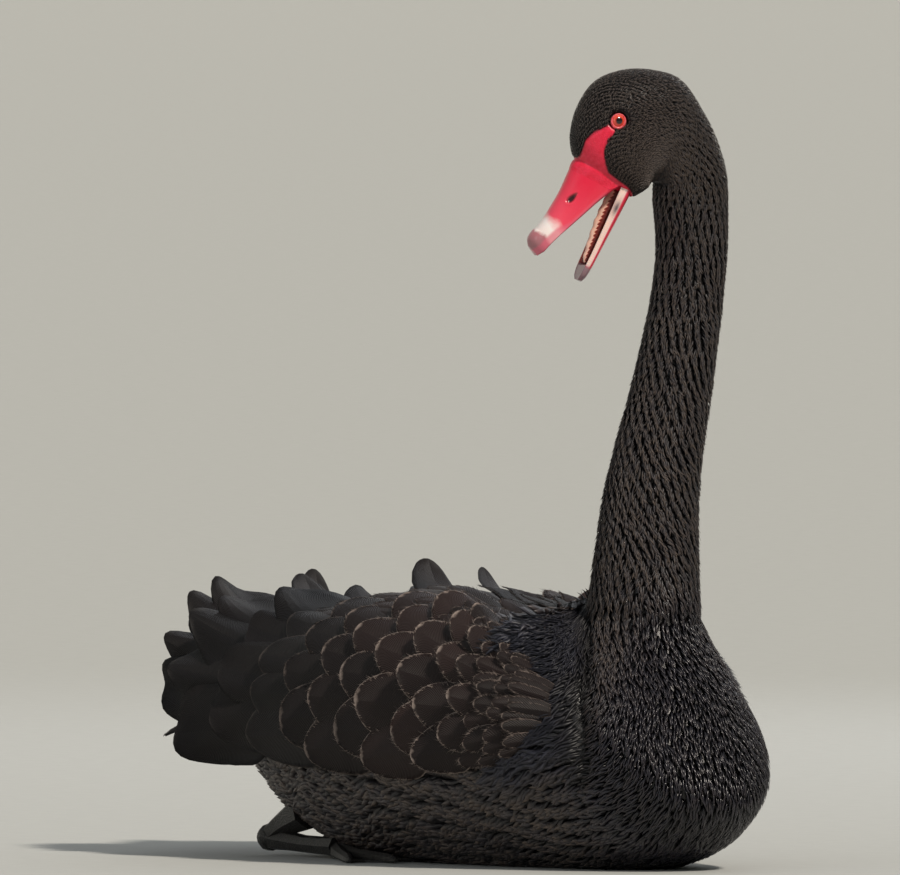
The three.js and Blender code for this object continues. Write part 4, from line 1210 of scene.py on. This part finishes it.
SHELL_ROWS, SHELL_COLUMNS = 60, 26
SHELL_EDGE, SHELL_MIDDLE = -13.0, -6.5  # how far its outer side lies inside the wrap
SHELL_THICK = 1.2


def wing_shell(name, hand):
    """A dark closed shell that fills between the vanes' roots and sinks towards its edges."""
    angle = np.linspace(WING_SPAN["top"], WING_SPAN["bottom"], SHELL_COLUMNS)[None, :]
    along = np.linspace(0, 1, SHELL_ROWS)[:, None]
    around = np.linspace(0, 1, SHELL_COLUMNS)[None, :]
    x = lerp(WING_FRONT[hand] - 4 - front_lag(angle), WING_SPAN["back"], along)
    inward = np.minimum(np.minimum(along, 1 - along), np.minimum(around, 1 - around))
    out = lerp(SHELL_EDGE, SHELL_MIDDLE, smooth(inward / 0.1))
    sheets = [wrap(x, np.radians(angle), out - drop, hand) for drop in (0.0, SHELL_THICK)]
    plain = np.zeros(2 * SHELL_ROWS * SHELL_COLUMNS)
    place = np.stack(np.broadcast_arrays(*wing_unwrap(x, angle)), -1)
    return mesh_piece(
        name,
        np.stack(sheets),
        slab_quads(SHELL_ROWS, SHELL_COLUMNS),
        FEATHER,
        {"tone": plain, "along": plain, "wet": plain},
        np.stack([place, place]),
    )


def make_wing(hand):
    """One folded wing: its vanes, their frayed barbs, and the shell beneath."""
    draw = np.random.default_rng(300 + hand)
    table = np.array(edge_vanes(draw, hand) + covert_vanes(draw, hand) + back_vanes(draw, hand))
    v = {name: table[:, k][:, None, None] for k, name in enumerate(VANE_FIELDS)}
    return [
        vane_mesh(f"vanes_{SIDE_NAMES[hand]}", v, hand),
        fringe_mesh(f"barbs_{SIDE_NAMES[hand]}", v, hand),
        wing_shell(f"wing_shell_{SIDE_NAMES[hand]}", hand),
    ]


# Tail: a fan of vanes, as in the solids
TAIL = {"x": -236, "z": 108, "length": 90, "count": 13, "spread": 31, "width": 24}
TAIL |= {"rows": 12, "columns": 7, "root_width": 34, "stack": 13.5, "droop": 22, "cup": 1.2}


def make_tail():
    """Vanes turned evenly either side of straight back, laid over each other towards the middle one."""
    count, rows, columns = TAIL["count"], TAIL["rows"], TAIL["columns"]
    share = (np.arange(count) / (count - 1) - 0.5)[:, None, None]
    turn = np.radians(2 * TAIL["spread"] * share)
    length = TAIL["length"] * (1 - 0.5 * share**2)
    layer = TAIL["stack"] * (0.5 - np.abs(share))
    t = np.linspace(0, 1, rows)[None, :, None]
    s = np.linspace(-1, 1, columns)[None, None, :]
    rounding = np.sqrt(np.clip(1 - (np.clip(t - 0.8, 0, 1) / 0.2) ** 2, 0.04, 1))
    half = TAIL["width"] / 2 * lerp(0.6, 1, smooth(t / 0.5)) * rounding
    quill = 0.4 * np.exp(-((s / 0.12) ** 2))
    x = TAIL["x"] - length * t * np.cos(turn) - s * half * np.sin(turn)
    y = TAIL["root_width"] * share + length * t * np.sin(turn) - s * half * np.cos(turn)
    z = TAIL["z"] + layer - TAIL["droop"] * t**2 - TAIL["cup"] * s**2 + quill
    upper = np.stack(np.broadcast_arrays(x, y, z), -1)
    values = {
        "tone": rng.uniform(0, 0.5, (count, 1, 1)),
        "edge": np.minimum(1 - np.abs(s), 4 * (1 - t)),
        "barb": length * t - 8 * np.abs(s),
        "fringe": 0.1,
    }
    u, w = 0.5 + 0.5 * share + BAKE_PATCH * s / 2, 0.5 + BAKE_PATCH * t
    return closed_vanes("tail_vanes", upper, upper - [0, 0, VANE_THICK], values, u, w)


def section_arch(table, rows, columns, crown):
    """Upper half of a bill from edge to edge: side = half * cosine and up = edge + height * sine, each
    raised to a power."""
    forward = lerp(table[0, 0], table[-1, 0], np.linspace(0, 1, rows) ** 0.85)[:, None]
    top, edge, half = [curve(table[:, 0], table[:, k])(forward) for k in (1, 2, 3)]
    angle = np.linspace(0, np.pi, columns)[None, :]
    side = half * signed_power(np.cos(angle), BILL_SIDE_POWER)
    up = edge + (top - edge) * np.sin(angle) ** crown
    return np.broadcast_arrays(forward, side, up, half, edge, angle)


def with_ends(columns_of_values):
    """Values over a capped tube's rings, with those of its two end points."""
    return np.concatenate([columns_of_values.ravel(), [columns_of_values[0, 0], columns_of_values[-1, 0]]])


def make_upper_bill():
    """An arch outside and a shallow combed vault inside, joined at the cutting edge, with a slit nostril
    pressed into each side and the nail raised at the tip."""
    rows, columns = 120, 72
    forward, side, up, half, edge, _ = section_arch(UPPER_BILL, rows, columns, UPPER_CROWN)
    slope = math.radians(NOSTRIL_SLOPE)
    along = (forward - NOSTRIL[0]) * math.cos(slope) + (up - NOSTRIL[1]) * math.sin(slope)
    over = (up - NOSTRIL[1]) * math.cos(slope) - (forward - NOSTRIL[0]) * math.sin(slope)
    off = np.hypot(along / NOSTRIL_LONG, over / (NOSTRIL_TALL + NOSTRIL_FLARE * along))
    aside = np.abs(side) > 3
    hole = below(off, 1.7, 1) * aside
    lip = np.exp(-5 * (off - 1.5) ** 2) * aside
    nail = above(forward, NAIL_START["upper"], 1.5) * below(np.abs(side), 8.4, 1.2)
    pinch = 1 - 0.16 * hole + 0.025 * lip
    outside = from_head(forward, side * pinch, up - 0.8 * hole + 0.6 * nail)
    inner_angle = np.linspace(np.pi, 0, columns // 2)[None, :]
    ahead, rim, width = forward[:, :1], edge[:, :1], half[:, :1] - 0.9
    comb = 0.3 * np.cos(ahead * 2 * np.pi / UPPER_COMB)
    inner_side = width * signed_power(np.cos(inner_angle), BILL_SIDE_POWER)
    arch = 1 - (inner_side / half[:, :1]) ** 2
    inner_up = rim + 0.3 + (3.4 + comb) * arch * np.minimum(1, width / 12)
    vault = from_head(ahead, inner_side, inner_up)
    points, triangles = capped(np.concatenate([outside, vault], 1))
    inside = np.ones(inner_side.shape)
    # a paler strip along the cutting edge, taller towards the tip
    tall = lerp(3.2, 7.0, above(forward, 88, 14))
    edge_light = below(up, edge + tall, 2.6) * above(forward, 50, 10)
    attributes = {
        "along": with_ends(np.concatenate([forward / 124, 0.3 * inside], 1)),
        # the nostril is painted dark as the shade of its opening, and the vault inside partly dark as the
        # mouth's shade
        "hole": with_ends(np.concatenate([hole, 0.45 * inside], 1)),
        "rim": with_ends(np.concatenate([edge_light, inside], 1)),
    }
    return mesh_piece("bill_upper_horn", points, triangles, HORN, attributes)


def make_lower_bill():
    """A trough. Outside, a red keel below a pale upper wall with fine cross ridges; inside, a floor painted
    dark as the mouth's shade between combed walls; a hard nail closes the tip."""
    rows, columns = 140, 40
    upturned = LOWER_BILL[:, [0, 2, 1, 3]] * [1, -1, -1, 1]
    forward, side, up, half, edge, angle = section_arch(upturned, rows, columns, LOWER_CROWN)
    ahead = forward[:, :1]
    depth = np.sin(angle) ** LOWER_CROWN
    nail = above(forward, NAIL_START["lower"], 4)
    pale = below(depth, 0.62, 0.26) * (1 - nail)
    ridge = 1 + 0.016 * np.cos(ahead * 2 * np.pi / LOWER_RIDGES) * pale
    outside = from_lower(forward, side * ridge, -up)
    across = np.linspace(-1, 1, columns)[None, :]
    width = half[:, :1] - 0.6
    wall = np.clip((np.abs(across) * width - (width - 3.2)) / 3.2, 0, 1)
    floor = -up.max(1, keepdims=True) + 2.2
    comb = 0.35 * np.cos(ahead * 2 * np.pi / LOWER_COMB) * wall * (1 - wall) * 4
    inside_up = floor + (-edge[:, :1] - floor) * smooth(wall) + comb - 0.2
    filled = above(ahead, 58, 5)
    inside_up = lerp(inside_up, -edge[:, :1] - 0.4, filled)
    inside = from_lower(ahead, across * width, inside_up)
    points, triangles = capped(np.concatenate([outside, inside], 1))
    # a grey stain on the pale wall near the root
    smudge = np.exp(-(((forward - 15) / 5.5) ** 2) - ((depth - 0.3) / 0.22) ** 2)
    # inside, the floor is painted near maroon as the mouth's shade, paler up the combed walls
    tint = np.concatenate([lerp(0.98, 0.74, pale), lerp(0.06, 0.42, wall)], 1)
    hard = np.concatenate([nail, np.broadcast_to(filled, wall.shape)], 1)
    stain = np.concatenate([smudge * pale, np.zeros(wall.shape)], 1)
    attributes = {"inner": with_ends(tint), "nail": with_ends(hard), "stain": with_ends(stain)}
    return mesh_piece("bill_lower_horn", points, triangles, MOUTH, attributes)


def make_tongue():
    """A fleshy ridge, pale on top, whose dark edges carry rows of spines that point back."""
    rows, columns = 110, 48
    forward, side, up, _, edge, angle = section_arch(TONGUE, rows, columns, LOWER_CROWN)
    saw = (forward / TONGUE_SPINES) % 1.0
    brink = np.abs(np.cos(angle))
    spine = 0.5 + 0.07 * (1 - saw) * brink**4
    lump = 0.35 * np.sin(forward * 0.7) * np.sin(angle) ** 2
    top = from_lower(forward, side * spine, up - 0.6 + lump)
    base = from_lower(forward[:, ::-1], side[:, ::-1] * 0.44, edge[:, ::-1] - 1.6)
    points, triangles = capped(np.concatenate([top, base[:, 1:-1]], 1))
    tint = lerp(0.66, 0.12, smooth((brink - 0.8 + 0.14 * saw) / 0.08))
    under = np.full((rows, columns - 2), 0.1)
    blank = np.zeros(len(points))
    attributes = {"inner": with_ends(np.concatenate([tint, under], 1)), "nail": blank, "stain": blank}
    return mesh_piece("tongue_flesh", points, triangles, MOUTH, attributes)


CORNEA_RISE = 0.25
CORNEA_SPAN = 0.75  # radians from the eye's axis
BALL_SPAN = 0.62 * np.pi
IRIS_SCALE = 6.3  # radius at which the ring attribute is one
LID_RADIUS = 5.2
LID_RISE = 0.5


def make_eye(hand):
    """A ball with a slight corneal bulge; its ring attribute is the distance from its axis."""
    rows, columns = 36, 48
    away = np.linspace(0.001, BALL_SPAN, rows)[:, None]
    round_ = full_turn(columns)[None, :]
    radius = EYE_BALL + CORNEA_RISE * below(away, CORNEA_SPAN, CORNEA_SPAN)
    forward = EYE_SPOT[0] + radius * np.sin(away) * np.cos(round_)
    up = EYE_SPOT[1] + radius * np.sin(away) * np.sin(round_)
    side = hand * (EYE_SIDE + radius * np.cos(away))
    points, triangles = capped(from_head(forward, side, up))
    ring = np.broadcast_to(np.sin(away) * EYE_BALL / IRIS_SCALE, (rows, columns))
    ring = np.concatenate([ring.ravel(), [0, 1]])
    return mesh_piece(f"eyeball_{SIDE_NAMES[hand]}", points, triangles, EYE, {"ring": ring})


def make_lid(hand):
    """A rounded rim round the eye: a small circle swept about the eye's axis, of changing thickness."""
    rows, columns = 56, 16
    round_ = full_turn(rows)[:, None]
    wire = full_turn(columns)[None, :]
    thick = 0.85 + 0.2 * np.cos(round_ + 0.9)
    reach = LID_RADIUS + 0.3 * np.cos(round_ + 0.6) + thick * np.cos(wire)
    rise = math.sqrt(EYE_BALL**2 - LID_RADIUS**2) + LID_RISE + thick * 0.9 * np.sin(wire)
    forward = EYE_SPOT[0] + reach * np.cos(round_)
    up = EYE_SPOT[1] + reach * np.sin(round_) * 0.96
    rings = from_head(forward, hand * (EYE_SIDE + rise), up)
    last = (rows - 1) * columns + np.arange(columns)
    first = np.arange(columns)
    seam = np.stack([last, np.roll(last, -1), np.roll(first, -1), first], -1)
    quads = np.concatenate([grid_quads(rows, columns, closed=True), seam])
    return mesh_piece(f"eyelid_{SIDE_NAMES[hand]}", rings, quads, LID)

# Build
skin = make_skin()
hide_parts("torso", "neck_lower", "neck_middle", "neck_upper", "head")
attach(skin, "root")
plumage = [
    *coat_region("coat_body", 4, PLACE[BREAST_STATION], rows=5, pointed=False),
    *coat_region("coat_breast", PLACE[BREAST_STATION], PLACE[NECK_STATION], rows=4, pointed=True),
    *coat_region("coat_neck", PLACE[NECK_STATION], PLACE[HEAD_STATION], rows=5, pointed=True),
    *coat_region("coat_head", PLACE[HEAD_STATION], PLACE[-1], rows=3, pointed=True),
]
wings = {hand: make_wing(hand) for hand in (-1, 1)}
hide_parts("wing_right")
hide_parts("wing_left")
tail_vanes = make_tail()
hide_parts("tail")
for piece in [*plumage, *wings[-1], *wings[1], tail_vanes]:
    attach(piece, "root")

upper_bill = make_upper_bill()
lower_bill = make_lower_bill()
tongue = make_tongue()
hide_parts("upper_bill")
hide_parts("lower_bill")
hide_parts("tongue")
for piece, slot in [(upper_bill, "bill"), (lower_bill, "bill"), (tongue, "mouth")]:
    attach(piece, "root")
for hand, side_name in SIDE_NAMES.items():
    eyeball = make_eye(hand)
    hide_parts(f"eye_{side_name}")
    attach(eyeball, "root")
    lid = make_lid(hand)
    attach(lid, "root")
for name in ("leg_left", "leg_right", "foot_left", "foot_right"):
    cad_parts[name].data.materials.clear()
    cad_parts[name].data.materials.append(LEG)


# Stage, light and camera
STAGE_RADIUS = [0.0, 0.5, 2, 8, 30, 70, 90, 99, 100]
STAGE_HEIGHT = [0, 0, 0, 0, 0, 0, 3, 15, 45]
STAGE_STEPS = 72
STAGE_GAP = 0.2  # millimetres of air below the belly


def make_stage():
    """A pale floor that turns up far off into a wall all round: rings at the radii and heights above."""
    radius = np.array(STAGE_RADIUS)[1:, None] / MM
    height = np.array(STAGE_HEIGHT)[1:, None] / MM - STAGE_GAP
    turn = full_turn(STAGE_STEPS)[None, :]
    rings = np.stack(np.broadcast_arrays(radius * np.cos(turn), radius * np.sin(turn), height), -1)
    points = np.concatenate([rings.reshape(-1, 3), [[0, 0, height[0, 0]]]])
    quads = grid_quads(len(radius), STAGE_STEPS, closed=True)
    ring = np.arange(STAGE_STEPS)
    hub = np.stack([np.full(STAGE_STEPS, len(points) - 1), np.roll(ring, -1), ring], -1)
    faces = np.concatenate([quads[:, [0, 1, 2]], quads[:, [0, 2, 3]], hub])
    floor = mesh_piece("floor", points, faces, studio_paper(), smooth_faces=False)


LIGHT_AIM = (0.05, 0.0, 0.25)
SENSOR_WIDTH = 36.0


def aimed_light(name, kind, place, colour, **settings):
    """A light at a place in metres that looks at the swan's middle."""
    data = bpy.data.lights.new(name, kind)
    data.color = srgb(colour)[:3]
    for key, value in settings.items():
        setattr(data, key, value)
    light = bpy.data.objects.new(name, data)
    bpy.context.scene.collection.objects.link(light)
    light.location = place
    aim = Vector(LIGHT_AIM) - Vector(place)
    light.rotation_euler = aim.to_track_quat("-Z", "Y").to_euler()


def make_camera():
    """A long lens at the photo's angle, whose frame at the swan is the image's width of pixels."""
    azimuth, elevation = math.radians(VIEW_AZIMUTH), math.radians(VIEW_ELEVATION)
    right = Vector((math.cos(azimuth), math.sin(azimuth), 0))
    back = Vector(
        (
            math.sin(azimuth) * math.cos(elevation),
            -math.cos(azimuth) * math.cos(elevation),
            math.sin(elevation),
        )
    )
    up = back.cross(right)
    data = bpy.data.cameras.new("camera")
    data.sensor_width = SENSOR_WIDTH
    data.lens = data.sensor_width * CAMERA_DISTANCE / (IMAGE[0] * PIXEL * MM)
    data.clip_start = 0.1
    data.clip_end = 200
    camera = bpy.data.objects.new("camera", data)
    bpy.context.scene.collection.objects.link(camera)
    centre = (right * IMAGE_MIDDLE[0] + up * IMAGE_MIDDLE[1]) * MM
    place = centre + back * CAMERA_DISTANCE
    camera.matrix_world = Matrix.Translation(place) @ Matrix((right, up, back)).transposed().to_4x4()
    bpy.context.scene.camera = camera


make_stage()
aimed_light("key", "SUN", (3.6, 0.2, 3.9), "#fff5e8", energy=3.1, angle=math.radians(6))
aimed_light("rim", "AREA", (-1.6, 2.6, 1.9), "#f4f7ff", energy=14, shape="RECTANGLE", size=2.2, size_y=1.4)
aimed_light("front", "AREA", (1.0, -3.4, 1.2), "#eef3ff", energy=9, shape="RECTANGLE", size=1.6, size_y=1.2)
world = bpy.data.worlds.new("studio")
world.use_nodes = True
world.node_tree.nodes["Background"].inputs["Color"].default_value = srgb("#e6e9ea")
world.node_tree.nodes["Background"].inputs["Strength"].default_value = 0.4
bpy.context.scene.world = world
bpy.context.scene.view_settings.view_transform = "Standard"
make_camera()
